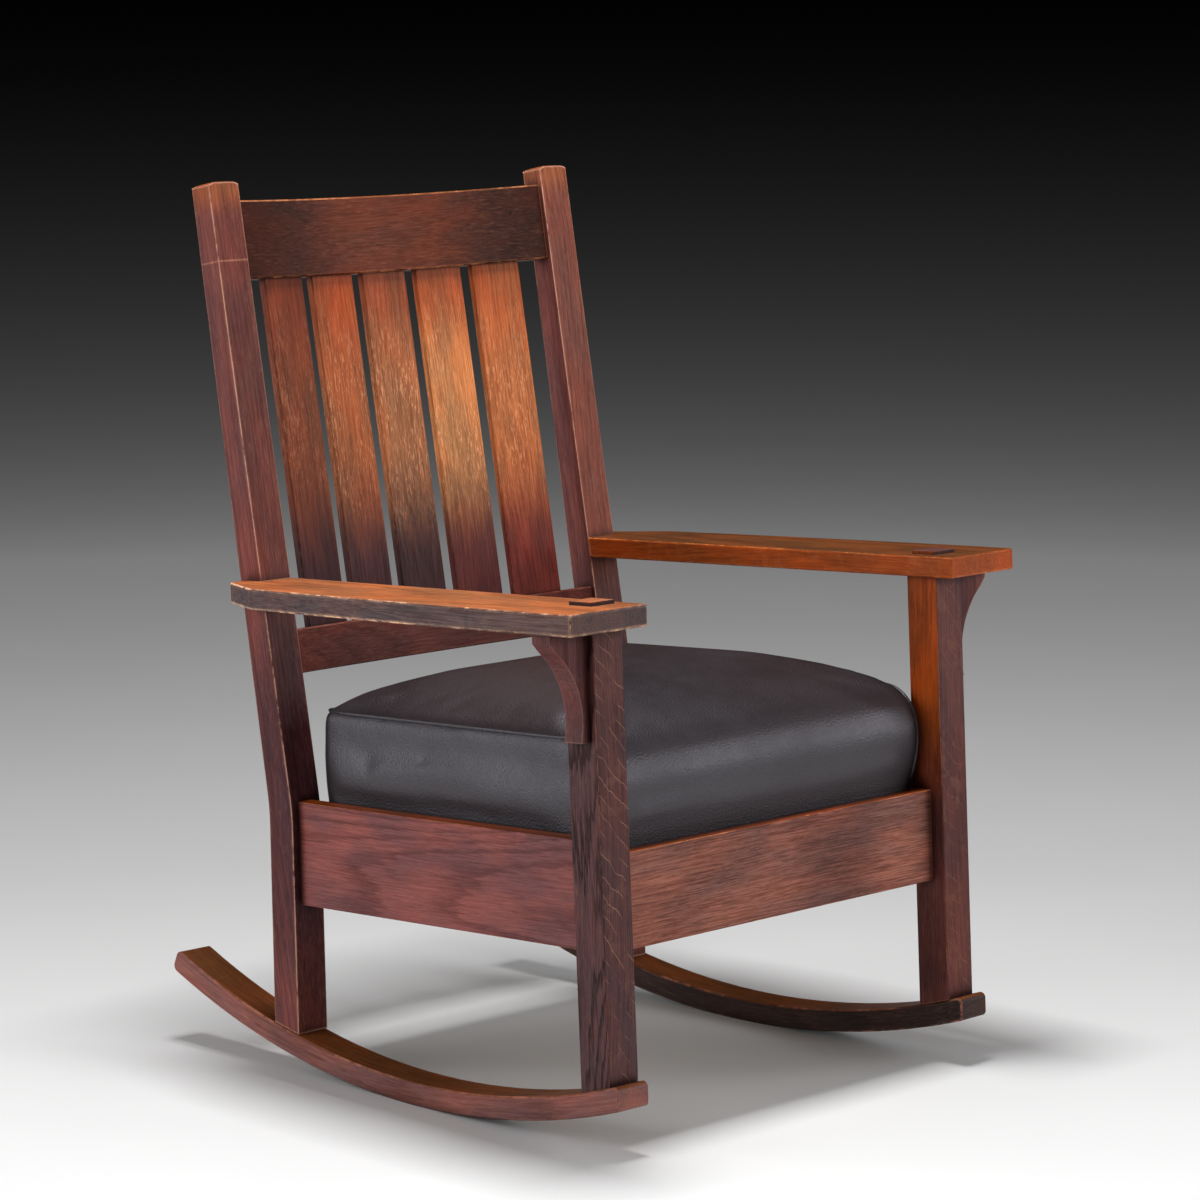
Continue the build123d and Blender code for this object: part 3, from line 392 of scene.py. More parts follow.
raised = calc(tree, "ADD", calc(tree, "MULTIPLY", fibre, 0.25), calc(tree, "MULTIPLY", pale, 0.10))
sunk = calc(tree, "ADD", pore_mask, calc(tree, "MULTIPLY", early, 0.3))
height = calc(tree, "SUBTRACT", raised, sunk)
tree.links.new(stained, taken.inputs["Color"])
tree.links.new(height, taken.inputs["Height"])
tree.links.new(tone, taken.inputs["Figure"])
print("oak figure: nodes", len(tree.nodes))

# %% [markdown]
# A century of hands rubs the stain off the corners of a board, and the same pale line also paints the highlights
# that the semi-gloss varnish catches along its edges. The Bevel node gives the normal that a rounded corner would
# have, and where it turns away from the face's own normal there is an edge. The planed corners themselves are
# faces that lie square to none of the board's axes. What a noise has kept is taken from that, so that the worn and
# lit line is wide in one place and gone in another.

# %% Edge wear and painted edge highlights
RUB_SCALE, RUB_SHARE = 70.0, 1.3
LONG_RUB_SCALE, LONG_RUB_SHARE = 9.0, 1.1
LEAST_KEPT = 0.25

edge_wear, given, taken = new_group("edge_wear", {
    "Vector": ("Vector", (0, 0, 0)),
    "Normal": ("Vector", (0, 0, 1)),
    "Radius": ("Float", 0.003),
    "Corners": ("Float", 1.0),
    "Amount": ("Float", 0.5),
}, {"Mask": ("Float", 0.0)})
tree = edge_wear
rounded = put(tree, "Bevel", {"Radius": given["Radius"]}, samples=6).outputs["Normal"]
turned = calc(tree, "SUBTRACT", 1.0, vector_calc(tree, "DOT_PRODUCT", rounded, own_facing(tree)))
edge = soft_step(tree, turned, 0.0, 0.2)
facing = put(tree, "SeparateXYZ", {"Vector": given["Normal"]}).outputs
sides = [calc(tree, "ABSOLUTE", facing[axis]) for axis in ("X", "Y", "Z")]
squarest = calc(tree, "MAXIMUM", calc(tree, "MAXIMUM", sides[0], sides[1]), sides[2])
corner = calc(tree, "MULTIPLY", soft_step(tree, squarest, 0.84, 0.95, 0.74, 0), given["Corners"])
edge = calc(tree, "MAXIMUM", edge, corner)
rub = noise(tree, given["Vector"], RUB_SCALE, 4.0, 0.7)
long_rub = noise(tree, given["Vector"], LONG_RUB_SCALE)
kept = calc(tree, "ADD", calc(tree, "MULTIPLY", rub, RUB_SHARE),
            calc(tree, "MULTIPLY", long_rub, LONG_RUB_SHARE))
kept = calc(tree, "SUBTRACT", kept, LEAST_KEPT)
worn = calc(tree, "SUBTRACT", calc(tree, "MULTIPLY", edge, 1.25), kept)
worn = soft_step(tree, worn, -0.15, 0.25)
mask = calc(tree, "MULTIPLY", worn, soft_step(tree, edge, 0.05, 0.3))
mask = calc(tree, "MULTIPLY", mask, given["Amount"])
tree.links.new(mask, taken.inputs["Mask"])
print("edge wear: nodes", len(tree.nodes))

# %% [markdown]
# Dust and old wax gather where boards meet, and the shade that falls into those corners is painted in with them,
# which draws a dark line round every joint. The Ambient Occlusion node finds those corners: it is dark where other
# surfaces are close by.

# %% Joint dirt and painted shade
joint_dirt_and_shade, given, taken = new_group("joint_dirt_and_shade", {
    "Distance": ("Float", 0.02),
    "Amount": ("Float", 0.75),
}, {"Mask": ("Float", 0.0)})
tree = joint_dirt_and_shade
open_sky = put(tree, "AmbientOcclusion", {"Distance": given["Distance"]}, samples=8).outputs["AO"]
hidden = soft_step(tree, open_sky, 0.45, 0.92, 1, 0)
tree.links.new(calc(tree, "MULTIPLY", hidden, given["Amount"]), taken.inputs["Mask"])
print("joint dirt: nodes", len(tree.nodes))

# %% [markdown]
# Stain also fades or darkens in patches: a back rubs the slats pale, and they are darker towards their feet. Some
# patches are painted light instead: the heads of the rear posts get a painted warm highlight. A patch is an oval
# cloud round a centre in the board's own space. Its rim is broken by a noise that is stretched along the grain.
# Very small patches make the one nail hole of the crest and the one scratch of the left post.

# %% Stain and light patch
RIM_STRETCH = (22, 120, 120)
RIM_REACH = 0.45

stain_patch, given, taken = new_group("stain_patch", {
    "Vector": ("Vector", (0, 0, 0)),
    "Centre": ("Vector", (0, 0, 0)),
    "Size": ("Vector", (0.1, 0.1, 0.1)),
}, {"Mask": ("Float", 0.0)})
tree = stain_patch
offset = vector_calc(tree, "SUBTRACT", given["Vector"], given["Centre"])
offset = vector_calc(tree, "DIVIDE", offset, given["Size"])
reach = vector_calc(tree, "LENGTH", offset, (0, 0, 0))
rim = calc(tree, "SUBTRACT", grain_noise(tree, given["Vector"], RIM_STRETCH, 3.0, 0.6), 0.5)
reach = calc(tree, "ADD", reach, calc(tree, "MULTIPLY", rim, RIM_REACH))
tree.links.new(soft_step(tree, reach, 0.4, 1.25, 1, 0), taken.inputs["Mask"])
print("stain patch: nodes", len(tree.nodes))

# %% [markdown]
# Faces that look one way get a colour of their own, and much of it is painted light: tops are painted lighter and
# warmer where the light from above falls, on top of some real fading, and some sides are painted with the light
# and shade that fall on them. This group masks the faces that look one way, from the direction of their normal.
# The ways are named here: square to the front legs, or raked back with the posts.

# %% Face mask, for fading and painted light
face_mask, given, taken = new_group("face_mask", {"Direction": ("Vector", (0, 0, 1))},
                                    {"Mask": ("Float", 0.0)})
tree = face_mask
toward = vector_calc(tree, "DOT_PRODUCT", own_facing(tree), given["Direction"])
tree.links.new(soft_step(tree, toward, 0.55, 0.85), taken.inputs["Mask"])

RAKE = math.radians(7.55)
SQUARE_X = Vector((1, 0, 0))
SQUARE_Y = (turn @ Vector((0, 1, 0, 0))).to_3d()
SQUARE_Z = (turn @ Vector((0, 0, 1, 0))).to_3d()
RAKED_Z = (turn @ Vector((0, math.sin(RAKE), math.cos(RAKE), 0))).to_3d()
RAKED_Y = (turn @ Vector((0, math.cos(RAKE), -math.sin(RAKE), 0))).to_3d()
print("upward in the leaning chair:", [round(part, 3) for part in SQUARE_Z])

# %% [markdown]
# One function now finishes any board. It turns the pattern to the board's grain and starts it at the board's own
# middle with a shift of its own, so no two boards repeat. Then it lays the base stain, the zones where the colour
# differs, some of them painted light, the figure of the oak, the worn edges with their painted highlights, and the
# dirt and painted shade at the joints. The varnish is thin: smooth on the bright fibres, duller on the deep ones.

# %% Oak board
GRAIN_SHIFT = Vector((0.37, 0.0, 0.0061))
RAKED_SIDES = (SQUARE_X, RAKED_Y, RAKED_Z)
JOINT_DIRT_AND_SHADE = (0.16, 0.12, 0.12, 1)
RINGS_EVERYWHERE, RINGS_FLAT_SAWN = 0.25, 0.75
FIBRE_BUMP, FIBRE_DEPTH = 0.35, 0.0004
VARNISH_SHEEN = 0.09
DEFAULT_BOARD = {
    "stain": colour(130, 82, 74), "ring_width": 0.0042, "ring_strength": 0.3, "streaks": 0.5,
    "fleck_scale": (70, 500, 60), "flecks": 0.08, "rays": 0.0, "pores": 0.45,
    "worn": colour(176, 118, 92), "wear": 0.7, "wear_radius": 0.0034, "corners": 1.0,
    "roughness": (0.30, 0.46), "dirt_and_shade": 0.8, "zones": [],
    "sides": (SQUARE_X, SQUARE_Y, SQUARE_Z),
}


def read_along(tree, vector, axes):
    """A vector read along three axes in turn."""
    readings = [vector_calc(tree, "DOT_PRODUCT", vector, axis) for axis in axes]
    return put(tree, "CombineXYZ", dict(zip("XYZ", readings))).outputs[0]


def board_space(tree, node_name, grain, radial, number, sides):
    """What the patterns need to know of a place on a board: its place in the board's own
    space, where X runs along the grain and Z across the rings, the same with the board's
    shift, its normal read along the board's sides, and how far its face is sawn flat."""
    low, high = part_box(node_name)
    along = grain.normalized()
    across = radial.cross(along).normalized()
    outward = along.cross(across)
    centred = vector_calc(tree, "SUBTRACT", own_place(tree), (low + high) / 2)
    own = read_along(tree, centred, (along, across, outward))
    moved = vector_calc(tree, "ADD", own, GRAIN_SHIFT * number)
    facing = own_facing(tree)
    flat_sawn = calc(tree, "ABSOLUTE", vector_calc(tree, "DOT_PRODUCT", facing, outward))
    return own, moved, read_along(tree, facing, sides), flat_sawn


def add_oak(tree, shader, finish, own_space, figure_space, own_normal, flat_sawn):
    """Wires the stain and painted light, figure, wear with painted highlights, dirt with painted shade and varnish
    of one board into its shader.
    """
    stain = put(tree, "RGB", {}).outputs[0]
    stain.default_value = finish["stain"]
    flecks = finish["flecks"]
    for zone in finish["zones"]:
        if "facing" in zone:
            masked = use_group(tree, face_mask, {"Direction": zone["facing"]})["Mask"]
        else:
            masked = use_group(tree, stain_patch, {"Vector": own_space, "Centre": zone["centre"],
                                                   "Size": zone["size"]})["Mask"]
        amount = calc(tree, "MULTIPLY", masked, zone.get("amount", 1.0))
        stain = mix(tree, amount, stain, zone["stain"])
        if "flecks" in zone:
            flecks = calc(tree, "ADD", calc(tree, "MULTIPLY", masked, zone["flecks"]), flecks)
    ring_strength = calc(tree, "MULTIPLY", flat_sawn, RINGS_FLAT_SAWN)
    ring_strength = calc(tree, "ADD", ring_strength, RINGS_EVERYWHERE)
    ring_strength = calc(tree, "MULTIPLY", ring_strength, finish["ring_strength"])
    rays = calc(tree, "MULTIPLY", calc(tree, "SUBTRACT", 1.0, flat_sawn), finish["rays"])
    oak = use_group(tree, oak_figure, {
        "Vector": figure_space, "Color": stain, "Ring Width": finish["ring_width"],
        "Ring Strength": ring_strength, "Streaks": finish["streaks"],
        "Fleck Scale": finish["fleck_scale"], "Fleck Amount": flecks, "Ray Amount": rays,
        "Pore Amount": finish["pores"]})
    # Worn edges: partly real wear, partly painted highlights along the edges.
    wear = use_group(tree, edge_wear, {
        "Vector": own_space, "Normal": own_normal, "Radius": finish["wear_radius"],
        "Corners": finish["corners"], "Amount": finish["wear"]})["Mask"]
    worn = mix(tree, wear, oak["Color"], finish["worn"])
    # The dirt mask also paints shade: it darkens the corners where boards meet, where shade falls.
    dirt_and_shade = use_group(tree, joint_dirt_and_shade, {"Amount": finish["dirt_and_shade"]})["Mask"]
    dirty_and_shaded = mix(tree, dirt_and_shade, worn, tinted(tree, worn, JOINT_DIRT_AND_SHADE))
    tree.links.new(dirty_and_shaded, shader.inputs["Base Color"])
    smooth, rough = finish["roughness"]
    gloss = soft_step(tree, oak["Figure"], 0.1, 0.9, rough, smooth)
    tree.links.new(gloss, shader.inputs["Roughness"])
    bump = put(tree, "Bump", {"Height": oak["Height"], "Strength": FIBRE_BUMP,
                              "Distance": FIBRE_DEPTH})
    tree.links.new(bump.outputs["Normal"], shader.inputs["Normal"])
    shader.inputs["Specular IOR Level"].default_value = VARNISH_SHEEN


def finish_board(node_name, grain, radial, number, **changes):
    """Gives one board its oak. The number sets the board's shift in the pattern."""
    finish = {**DEFAULT_BOARD, **changes}
    material, tree, shader = new_material("oak_" + node_name)
    spaces = board_space(tree, node_name, grain, radial, number, finish["sides"])
    add_oak(tree, shader, finish, *spaces)
    dress(nodes[node_name], material)


def pair(name, grain, radial, number, **changes):
    """Finishes the left and the right one of two boards."""
    for step, side in enumerate(("left", "right")):
        finish_board(f"{name}_{side}", grain, radial, number + step, **changes)


print("board finish ready")

# %% [markdown]
# The five slats of the back were sawn on the quarter, so they show short pale rays. They
# are honey-coloured where shoulders rubbed them and dark red-brown towards the lower rail.

# %% Slats of the back
SLAT_BASE = [colour(116, 52, 32), colour(158, 70, 30), colour(140, 66, 34),
             colour(168, 78, 38), colour(170, 84, 44)]
SLAT_HONEY = [colour(118, 60, 38), colour(156, 84, 46), colour(164, 98, 60),
              colour(198, 126, 76), colour(180, 104, 60)]
SLAT_FOOT = [colour(65, 34, 36), colour(64, 29, 33), colour(55, 29, 32),
             colour(85, 37, 36), colour(115, 45, 37)]
SLAT_FLECKS = [0.25, 0.5, 0.75, 0.75, 0.6]
slat_looks = zip(SLAT_BASE, SLAT_HONEY, SLAT_FOOT, SLAT_FLECKS)
for number, (base, honey, foot, flecks) in enumerate(slat_looks, 1):
    finish_board(
        f"back_slat_{number}", RAKED_Z, SQUARE_X, number, stain=base,
        ring_width=0.0034, fleck_scale=(85, 1100, 520), streaks=0.6,
        wear=0.6, worn=colour(176, 112, 80), sides=RAKED_SIDES, zones=[
            {"centre": (0.0, 0, 0), "size": (0.15, 0.5, 0.5), "stain": honey, "flecks": flecks},
            {"centre": (-0.21, 0, 0), "size": (0.17, 0.5, 0.5), "stain": foot, "flecks": -0.6},
        ])
print("slats finished: 5")

# %% [markdown]
# The crest rail is the darkest board of the back, with a warmer middle where heads rested.
# The lower rail lies in the shade of the arms.

# %% Rails of the back
NAIL_HOLE = colour(20, 10, 8)
# The crest's top face is painted lighter: partly faded, partly painted with the light from above.
finish_board("crest_rail", SQUARE_X, RAKED_Y, 11, stain=colour(58, 24, 15),
             ring_width=0.007, ring_strength=0.15, pores=0.3,
             worn=colour(190, 120, 78), wear=0.8, sides=RAKED_SIDES, zones=[
                 {"centre": (0.02, 0, 0), "size": (0.13, 0.5, 0.5), "stain": colour(92, 39, 19)},
                 {"facing": RAKED_Z, "stain": colour(140, 84, 54)},
                 {"centre": (0.19, -0.013, 0), "size": (0.0022, 0.0022, 0.5), "stain": NAIL_HOLE}])
finish_board("lower_back_rail", SQUARE_X, RAKED_Y, 12, stain=colour(88, 42, 38),
             ring_width=0.007, worn=colour(140, 92, 76), wear=0.5, sides=RAKED_SIDES)
print("back rails finished: 2")

# %% [markdown]
# The rear posts run from the rockers to the top in one piece, so their grain follows the
# raked back. The left front leg shows fine ring lines on its side and pale slanting rays in
# front.

# %% Posts and legs
POST_LOW = {"centre": (-0.22, 0, 0), "size": (0.22, 0.5, 0.5), "stain": colour(78, 43, 48)}
# Painted highlight: the domed heads of the rear posts are painted warm orange where the light from above falls on
# them.
POST_HEAD_PAINTED_LIGHT = {"centre": (0.475, 0, 0), "size": (0.04, 0.5, 0.5), "amount": 0.8,
             "stain": colour(146, 80, 46)}
SCRATCH = {"centre": (0.38, 0, 0), "size": (0.0012, 0.5, 0.5), "amount": 0.5,
           "stain": colour(176, 118, 100)}
# The posts' pale corners are partly rubbed wear and partly painted highlights along the edges. Their front faces
# are coloured apart from the sides, painted for the light that falls there.
for side, number, front, marks in (("left", 13, colour(102, 50, 44), [SCRATCH]),
                                   ("right", 14, colour(118, 62, 50), [])):
    finish_board("rear_post_" + side, RAKED_Z, SQUARE_X + RAKED_Y * 0.5, number,
                 stain=colour(114, 62, 60), streaks=0.6, worn=colour(220, 164, 140), wear=1.0,
                 corners=1.25, wear_radius=0.005, ring_width=0.007,
                 zones=[{"facing": -RAKED_Y, "stain": front}, POST_LOW, POST_HEAD_PAINTED_LIGHT] + marks)
# The leg's top face is painted lighter, like the arm's top: partly faded, partly painted with the light from
# above.
finish_board("front_leg_left", SQUARE_Z, SQUARE_X, 15, stain=colour(86, 56, 58),
             ring_width=0.0024, ring_strength=1.0, rays=0.6, streaks=0.6, pores=0.6,
             worn=colour(160, 104, 90), wear=0.8,
             zones=[{"facing": SQUARE_Z, "stain": colour(168, 104, 72)}])
# The right leg's inner face is orange: partly its stain, partly a painted glow of the light bounced onto it.
finish_board("front_leg_right", SQUARE_Z, SQUARE_X, 16, stain=colour(90, 57, 58),
             ring_width=0.007, ring_strength=0.4, rays=0.2, worn=colour(160, 104, 88), zones=[
                 {"facing": -SQUARE_X, "stain": colour(156, 70, 21)},
                 {"centre": (-0.14, 0, 0), "size": (0.2, 0.5, 0.5), "stain": colour(92, 52, 50)}])
print("posts and legs finished: 4")

# %% [markdown]
# Arms take the most wear. Their tops are honey-coloured, partly faded and partly painted with the light from
# above, and their bright rims are partly rubbed and partly painted highlights. The right arm's top is painted
# darker, a painted reflection of the dark room. The left arm's edge is grey-brown and bare in places, while the
# right one is orange.

# %% Arms and corbels
# The arms' bright rims: partly rubbed wear, partly painted highlights.
ARM_WORN_AND_LIT = colour(238, 186, 150)
finish_board("arm_left", SQUARE_Y, SQUARE_Z, 17, stain=colour(88, 70, 72),
             ring_width=0.006, ring_strength=0.35, streaks=0.7, worn=ARM_WORN_AND_LIT, wear=1.0,
             wear_radius=0.007, roughness=(0.3, 0.5),
             zones=[{"facing": SQUARE_Z, "stain": colour(164, 98, 62)}])
# The right arm's top is painted darker: a painted reflection of the dark room.
finish_board("arm_right", SQUARE_Y, SQUARE_Z, 18, stain=colour(156, 70, 24),
             ring_width=0.006, worn=colour(206, 124, 66), wear=0.8, wear_radius=0.005,
             roughness=(0.3, 0.5), zones=[{"facing": SQUARE_Z, "stain": colour(104, 60, 34)}])
pair("corbel", SQUARE_Z, SQUARE_Y, 19, stain=colour(92, 54, 56), worn=colour(150, 98, 82),
     ring_strength=0.5, corners=0.0)
print("arms and corbels finished: 4")

# %% [markdown]
# The seat rails are plain red-brown boards. The side ones were sawn flat, so they show dark pointed arches. Their
# upper edges are bright, partly rubbed by the leather and partly painted highlights, and their tops are painted
# orange, partly faded and partly lit from above.

# %% Seat rails
# The rails' tops are painted orange: partly faded, partly painted with the light from above.
RAIL_TOP = {"facing": SQUARE_Z, "stain": colour(136, 62, 22)}
pair("side_seat_rail", SQUARE_Y, SQUARE_X + SQUARE_Z * 0.15, 21, stain=colour(127, 75, 75),
     ring_width=0.0055, ring_strength=0.45, streaks=0.45, flecks=0.0, worn=colour(196, 120, 76),
     zones=[RAIL_TOP])
finish_board("front_seat_rail", SQUARE_X, SQUARE_Y, 23, stain=colour(132, 84, 75),
             ring_width=0.009, ring_strength=0.2, streaks=0.9, pores=0.8,
             worn=colour(206, 130, 84), wear=0.9,
             zones=[{"centre": (0.09, 0, 0), "size": (0.07, 0.5, 0.5), "stain": colour(100, 60, 56),
                     "amount": 0.6}, RAIL_TOP])
finish_board("rear_seat_rail", SQUARE_X, SQUARE_Y, 24, stain=colour(118, 74, 66))
print("seat rails finished: 4")

# %% [markdown]
# The rockers are bent wood, and their grain bends with them. The board space is wrapped
# round the centre of the arc: the angle times the radius runs along the grain, and the
# distance from the centre runs through the thickness.

# %% Rockers
ROCKER_CENTRE = stance @ Vector((0, 0.261, 0.9669))
ROCKER_RADIUS = 1.0143
bent_space, given, taken = new_group("bent_space", {
    "Vector": ("Vector", (0, 0, 0)), "Radius": ("Float", ROCKER_RADIUS),
}, {"Vector": ("Vector", (0, 0, 0))})
tree = bent_space
parts = put(tree, "SeparateXYZ", {"Vector": given["Vector"]}).outputs
out = calc(tree, "SQRT", calc(tree, "ADD", calc(tree, "MULTIPLY", parts["Y"], parts["Y"]),
                              calc(tree, "MULTIPLY", parts["Z"], parts["Z"])))
angle = calc(tree, "ARCTAN2", parts["Y"], calc(tree, "MULTIPLY", parts["Z"], -1.0))
wrapped = put(tree, "CombineXYZ", {
    "X": calc(tree, "MULTIPLY", angle, given["Radius"]),
    "Y": calc(tree, "SUBTRACT", out, given["Radius"]),
    "Z": parts["X"]})
tree.links.new(wrapped.outputs[0], taken.inputs["Vector"])

# The right rocker's colour is painted far darker than the left one's: painted shade, for the shade under the
# chair. The tops of both rockers are painted orange-brown, partly faded and partly lit from above.
for side, number, stain in (("left", 25, colour(128, 83, 80)), ("right", 26, colour(58, 42, 40))):
    material, tree, shader = new_material("oak_rocker_" + side)
    low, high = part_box("rocker_" + side)
    centre = Vector(((low.x + high.x) / 2, ROCKER_CENTRE.y, ROCKER_CENTRE.z))
    centred = vector_calc(tree, "SUBTRACT", own_place(tree), centre)
    own_space = use_group(tree, bent_space, {"Vector": centred})["Vector"]
    figure_space = vector_calc(tree, "ADD", own_space, GRAIN_SHIFT * number)
    sideways = put(tree, "SeparateXYZ", {"Vector": own_facing(tree)}).outputs["X"]
    around = calc(tree, "SUBTRACT", 1.0, calc(tree, "MULTIPLY", sideways, sideways))
    around = calc(tree, "SQRT", around)
    own_normal = put(tree, "CombineXYZ", {"X": sideways, "Y": around, "Z": 0.0}).outputs[0]
    finish = {**DEFAULT_BOARD, "stain": stain, "worn": colour(184, 118, 94), "wear": 0.9,
              "ring_width": 0.007, "zones": [{"facing": SQUARE_Z, "stain": colour(126, 72, 40)}]}
    flat_sawn = calc(tree, "ABSOLUTE", sideways)
    add_oak(tree, shader, finish, own_space, figure_space, own_normal, flat_sawn)
    dress(nodes["rocker_" + side], material)
print("rockers finished: 2")

# %% [markdown]
# Inside the seat the maker left the wood bare: corner blocks and cleats of oak offcuts, and
# the drop-in frame of a paler wood.

# %% Hidden wood
BARE = {"wear": 0.15, "roughness": (0.6, 0.75), "worn": colour(200, 170, 130), "flecks": 0.1}
OFFCUT = {**BARE, "stain": colour(150, 116, 84)}
PALE_WOOD = {**BARE, "stain": colour(186, 156, 116)}
pair("front_corner_block", SQUARE_X, SQUARE_Z, 60, **OFFCUT)
pair("rear_corner_block", SQUARE_X, SQUARE_Z, 62, **OFFCUT)
pair("side_cleat", SQUARE_Y, SQUARE_Z, 70, **OFFCUT)
finish_board("front_cleat", SQUARE_X, SQUARE_Z, 75, **OFFCUT)
finish_board("rear_cleat", SQUARE_X, SQUARE_Z, 76, **OFFCUT)
pair("seat_frame_side", SQUARE_Y, SQUARE_Z, 80, **PALE_WOOD)
finish_board("seat_frame_front", SQUARE_X, SQUARE_Z, 85, **PALE_WOOD)
finish_board("seat_frame_rear", SQUARE_X, SQUARE_Z, 86, **PALE_WOOD)
finish_board("corbel_dowels", SQUARE_X, SQUARE_Z, 90, stain=colour(186, 150, 110), **BARE)
print("hidden wood finished")

# %% [markdown]
# Jute webbing is a plain weave of coarse, pale threads. Two sine waves at right angles,
# one for each set of threads, give both the crossings and the relief.

# %% Webbing
THREAD_PITCH = 0.0028
FUZZ_SCALE = 900.0
jute, tree, shader = new_material("jute")
place = own_place(tree)
waves = []
for direction in (SQUARE_X, SQUARE_Y):
    reading = vector_calc(tree, "DOT_PRODUCT", place, direction)
    waves.append(calc(tree, "SINE", calc(tree, "MULTIPLY", reading, 2 * math.pi / THREAD_PITCH)))
crossing = calc(tree, "MULTIPLY", waves[0], waves[1])
thread = calc(tree, "ADD", calc(tree, "MULTIPLY", crossing, 0.5), noise(tree, place, FUZZ_SCALE))
base = mix(tree, soft_step(tree, thread, -0.2, 1.2), colour(112, 88, 58), colour(190, 162, 118))
tree.links.new(base, shader.inputs["Base Color"])
shader.inputs["Roughness"].default_value = 0.9
bump = put(tree, "Bump", {"Height": thread, "Strength": 0.6, "Distance": 0.0008})
tree.links.new(bump.outputs["Normal"], shader.inputs["Normal"])
for name in ("webbing_front_to_back", "webbing_side_to_side"):
    dress(nodes[name], jute)
print("webbing finished: 2")

# %% [markdown]
# The screws are plain steel, dulled by age, with a little rust in the low places.

# %% Screws
RUST_SCALE = 260.0
steel, tree, shader = new_material("old_steel")
rust = soft_step(tree, noise(tree, own_place(tree), RUST_SCALE, 4.0, 0.65), 0.5, 0.68)
base = mix(tree, rust, colour(150, 148, 144), colour(104, 66, 44))
tree.links.new(base, shader.inputs["Base Color"])
tree.links.new(soft_step(tree, rust, 0, 1, 1, 0.2), shader.inputs["Metallic"])
tree.links.new(soft_step(tree, rust, 0, 1, 0.38, 0.8), shader.inputs["Roughness"])
for name in ("cleat_screws", "rocker_screws"):
    dress(nodes[name], steel)
print("screws finished: 2")

# %% [markdown]
# The cushion is leather drawn over springs: flat where it drops between the rails, full at
# the front, and crowned on top. Its CAD solid has the right size, so a copy of that solid's
# outer skin is the start. It is merged, since CAD triangles are loose, and the closed inner
# space is taken away.

# %% Skin of the cushion
MERGE_DISTANCE = 0.00002


def islands(mesh):
    """The connected groups of faces of a bmesh."""
    left = set(mesh.faces)
    found = []
    while left:
        group, edge = set(), {left.pop()}
        while edge:
            group |= edge
            near = {other for face in edge for line in face.edges for other in line.link_faces}
            edge = near - group
        left -= group
        found.append(list(group))
    return found


skin = bmesh.new()
skin.from_mesh(nodes["seat_cushion"].data)
bmesh.ops.remove_doubles(skin, verts=skin.verts, dist=MERGE_DISTANCE)
shells = sorted(islands(skin), key=lambda faces: sum(face.calc_area() for face in faces))
bmesh.ops.delete(skin, geom=[face for shell in shells[:-1] for face in shell], context="FACES")
bmesh.ops.recalc_face_normals(skin, faces=skin.faces)
cushion_mesh = bpy.data.meshes.new("leather_cushion")
skin.to_mesh(cushion_mesh)
skin.free()
cushion = bpy.data.objects.new("leather_cushion", cushion_mesh)
bpy.context.collection.objects.link(cushion)
print("cushion skin: faces", len(cushion_mesh.polygons), "shells found", len(shells))

# %% [markdown]
# A remesh gives even small faces, which cloth needs. The cover is drawn in a little, then
# blown up from inside by a gentle pressure while its bottom edge is held, so the leather
# finds the taut, rounded shape that springs and padding give it. How far a point may move is
# capped, because the seat is tight and must stay clear of the legs. Before and after, the
# leather is ironed: small dents go, and the shape keeps its size.

# %% Fill the cushion
VOXEL = 0.006
DRAW_IN = 0.0006
MOST_SWELL = 0.0032
HELD_BELOW = 0.262
PRESSURE = 4.0
STRETCH_STIFFNESS = 30
CLOTH_FRAMES = 20
PUSH_IN, PUSH_OUT = 0.5, -0.51
IRONED_BEFORE, IRONED_AFTER = 8, 20


def apply_modifiers(obj):
    """Replace the mesh by what its modifiers make of it, and remove them."""
    graph = bpy.context.evaluated_depsgraph_get()
    made = bpy.data.meshes.new_from_object(obj.evaluated_get(graph))
    obj.modifiers.clear()
    obj.data = made


to_square = stance.inverted()


def square_height(point):
    """How high a point lies, measured along the front legs."""
    return (to_square @ point).z


def iron(obj, rounds):
    """Smooths a mesh without shrinking it: each push in is followed by one out."""
    surface = bmesh.new()
    surface.from_mesh(obj.data)
    for factor in (PUSH_IN, PUSH_OUT) * rounds:
        bmesh.ops.smooth_vert(surface, verts=surface.verts, factor=factor,
                              use_axis_x=True, use_axis_y=True, use_axis_z=True)
    surface.to_mesh(obj.data)
    surface.free()


remesh = cushion.modifiers.new("even_faces", "REMESH")
remesh.mode = "VOXEL"
remesh.voxel_size = VOXEL
ironed = cushion.modifiers.new("ironed", "SMOOTH")
ironed.factor = 0.5
ironed.iterations = 6
apply_modifiers(cushion)
iron(cushion, IRONED_BEFORE)
for vertex in cushion.data.vertices:
    vertex.co -= vertex.normal * DRAW_IN
start = [vertex.co.copy() for vertex in cushion.data.vertices]
held = cushion.vertex_groups.new(name="held")
low_points = [v.index for v in cushion.data.vertices if square_height(v.co) < HELD_BELOW]
held.add(low_points, 1.0, "REPLACE")
cloth = cushion.modifiers.new("leather", "CLOTH")
cloth.settings.vertex_group_mass = "held"
cloth.settings.use_pressure = True
cloth.settings.uniform_pressure_force = PRESSURE
cloth.settings.tension_stiffness = STRETCH_STIFFNESS
cloth.settings.compression_stiffness = STRETCH_STIFFNESS
cloth.settings.bending_stiffness = 1.0
cloth.settings.effector_weights.gravity = 0
for number in range(1, CLOTH_FRAMES + 1):
    bpy.context.scene.frame_set(number)
apply_modifiers(cushion)
bpy.context.scene.frame_set(1)
for vertex, first in zip(cushion.data.vertices, start):
    move = vertex.co - first
    if move.length > MOST_SWELL:
        vertex.co = first + move * (MOST_SWELL / move.length)
iron(cushion, IRONED_AFTER)
finer = cushion.modifiers.new("finer", "SUBSURF")
